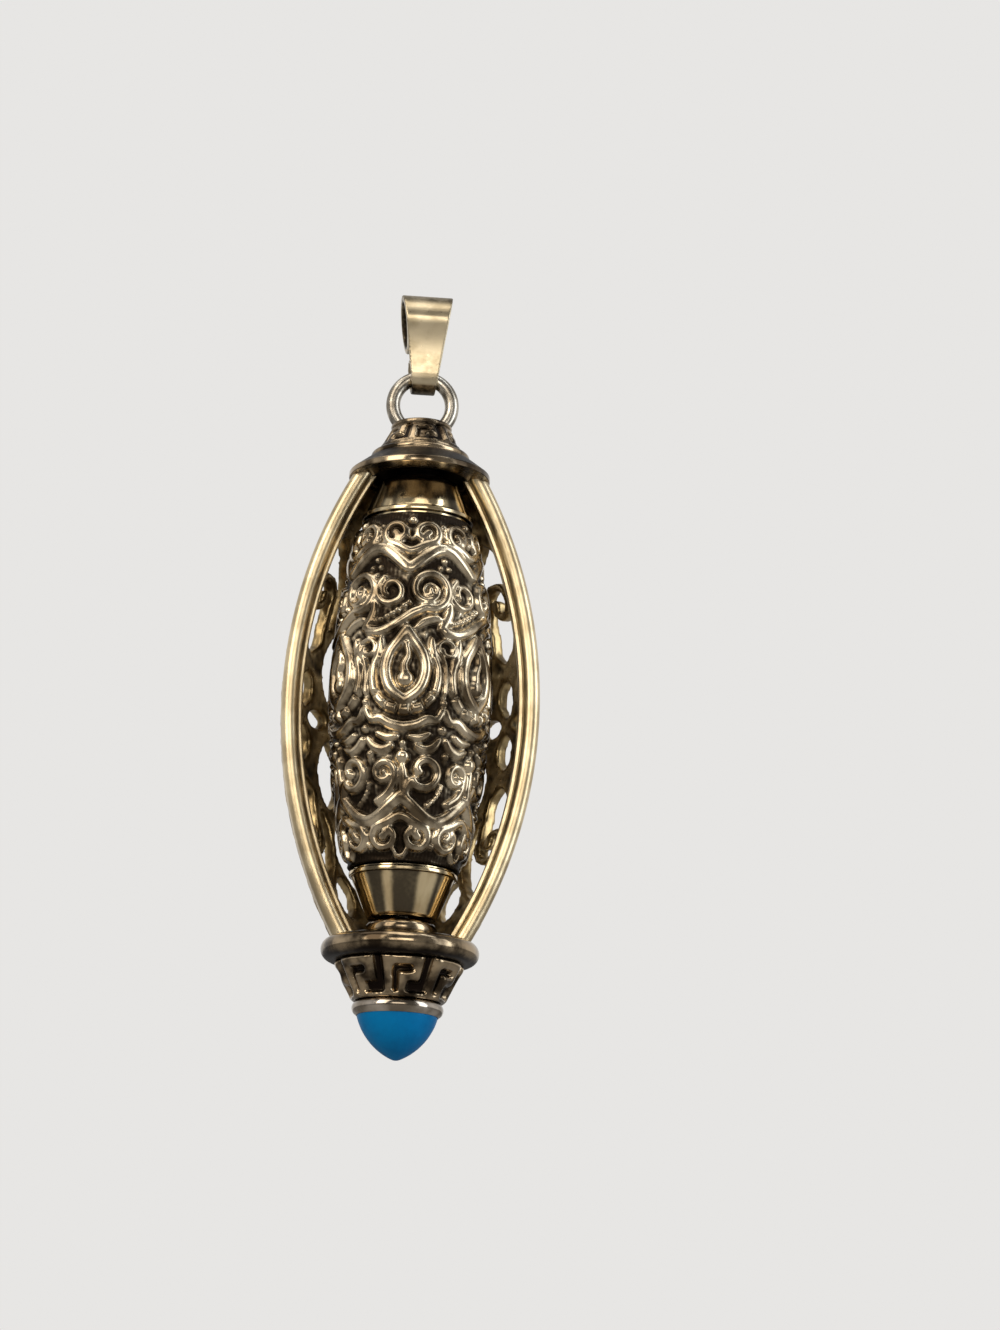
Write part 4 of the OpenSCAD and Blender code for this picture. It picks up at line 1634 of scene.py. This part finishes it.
@dataclass
class Studio:
    """Camera, lamps, pale floor and plain surroundings."""

    azimuth: float = -4.0
    elevation: float = -13.65
    roll: float = 2.38
    distance: float = 0.23
    focal: float = 3296.0
    target_pixel: Point = (410.0, 707.6)
    image: Point = (1000.0, 1330.0)
    floor_z: float = -0.16
    floor_size: float = 3.0
    floor_shades: tuple[Colour, Colour] = ((0.25, 0.246, 0.24), (0.27, 0.266, 0.26))
    floor_rough: float = 0.8
    floor_glow: float = 0.6
    floor_mirror: float = 0.25
    backdrop: Colour = (0.80, 0.79, 0.775)
    surround: Colour = (0.42, 0.415, 0.41)
    front_ramp: tuple[float, ...] = (-0.85, 0.15, 0.3, 1.0)
    top_ramp: tuple[float, ...] = (0.25, 0.9, 1.0, 0.45)
    lamps: tuple[Lamp, ...] = (
        Lamp("key", (-0.26, -0.26, 0.16), (0.20, 0.36), 1.0, (1.0, 0.93, 0.82)),
        Lamp("fill", (0.32, -0.16, 0.06), (0.16, 0.36), 0.65, (0.88, 0.94, 1.0)),
        Lamp("top", (-0.07, -0.08, 0.33), (0.40, 0.16), 0.45, (1.0, 0.95, 0.87)),
        Lamp("top_strip", (0.20, -0.10, 0.33), (0.06, 0.18), 0.14, (0.86, 0.93, 1.0)),
        Lamp("front", (-0.02, -0.42, 0.04), (0.24, 0.14), 0.4, (1.0, 0.94, 0.84)),
    )

    @property
    def target(self) -> Vector:
        """Middle of the cage, which the camera and the lamps point at."""
        low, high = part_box("cage_shell")
        return Vector((0.0, 0.0, (low[2] + high[2]) / 2))

    def build(self) -> None:
        """Sets up the whole studio."""
        self.camera()
        self.floor()
        self.world()
        for lamp in self.lamps:
            lamp.light(self.target)
        bpy.context.scene.view_settings.view_transform = "Standard"

    def camera(self) -> None:
        """Places the camera at the photograph's viewing angle."""
        data = bpy.data.cameras.new("camera")
        data.sensor_width = 36.0
        width, height = self.image
        data.lens = self.focal / height * data.sensor_width
        data.shift_x = (width / 2 - self.target_pixel[0]) / height
        data.shift_y = (self.target_pixel[1] - height / 2) / height
        data.clip_start = 0.005
        data.clip_end = 20.0
        camera = add_object("camera", data)
        az, el = math.radians(self.azimuth), math.radians(self.elevation)
        away = Vector((math.sin(az) * math.cos(el), -math.cos(az) * math.cos(el), math.sin(el)))
        facing = (-away).to_track_quat("-Z", "Y").to_matrix()
        spun = facing @ Matrix.Rotation(math.radians(self.roll), 3, "Z")
        camera.matrix_world = Matrix.Translation(self.target + away * self.distance) @ spun.to_4x4()
        bpy.context.scene.camera = camera

    def floor(self) -> None:
        """Lays the pale floor below the hanging object."""
        bm = bmesh.new()
        bmesh.ops.create_grid(bm, x_segments=8, y_segments=8, size=self.floor_size)
        bmesh.ops.translate(bm, verts=bm.verts[:], vec=(0, 0, self.floor_z))
        mesh = to_mesh(bm, "floor")
        made, graph, shader = new_material("floor")
        clouds = graph.noise(graph.where(), 6.0, 2.0)
        rays = graph.add("ShaderNodeLightPath").outputs
        mirrored = graph.math("MAXIMUM", rays["Is Glossy Ray"], rays["Is Transmission Ray"])
        mirrored = graph.math("MULTIPLY", mirrored, self.floor_mirror)
        seen = graph.math("MAXIMUM", rays["Is Camera Ray"], mirrored)
        inputs = {
            "Base Color": graph.blend(clouds, *self.floor_shades),
            "Roughness": self.floor_rough,
            "Emission Color": self.backdrop,
            "Emission Strength": graph.math("MULTIPLY", seen, self.floor_glow),
        }
        graph.wire(shader, inputs)
        mesh.materials.append(made)
        floor = add_object("floor", mesh)

    def world(self) -> None:
        """Surrounds the object with a plain backdrop, whose front and top look darker in reflections."""
        world = bpy.data.worlds.new("studio")
        world.use_nodes = True
        bpy.context.scene.world = world
        graph = Graph(world.node_tree)
        rays = graph.add("ShaderNodeLightPath").outputs
        side = graph.add("ShaderNodeSeparateXYZ", {0: graph.where("Generated")}).outputs
        front = graph.ramp(side["Y"], *self.front_ramp)
        top = graph.ramp(side["Z"], *self.top_ramp)
        dark = graph.blend(graph.math("MULTIPLY", front, top), (0.0, 0.0, 0.0), self.backdrop)
        mirrored = graph.math("MAXIMUM", rays["Is Glossy Ray"], rays["Is Transmission Ray"])
        seen = graph.blend(mirrored, self.surround, dark)
        colour = graph.blend(rays["Is Camera Ray"], seen, self.backdrop)
        graph.wire(world.node_tree.nodes["Background"], {"Color": colour})


def main() -> None:
    """Builds the studio and the pieces in order."""
    logging.basicConfig(level=logging.INFO, format="%(name)s %(message)s")
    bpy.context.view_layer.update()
    Studio().build()
    shop = Workshop()
    Bail(shop).build()
    Cage(shop).build()
    Drum(shop).build()


if __name__ == "__main__":
    main()
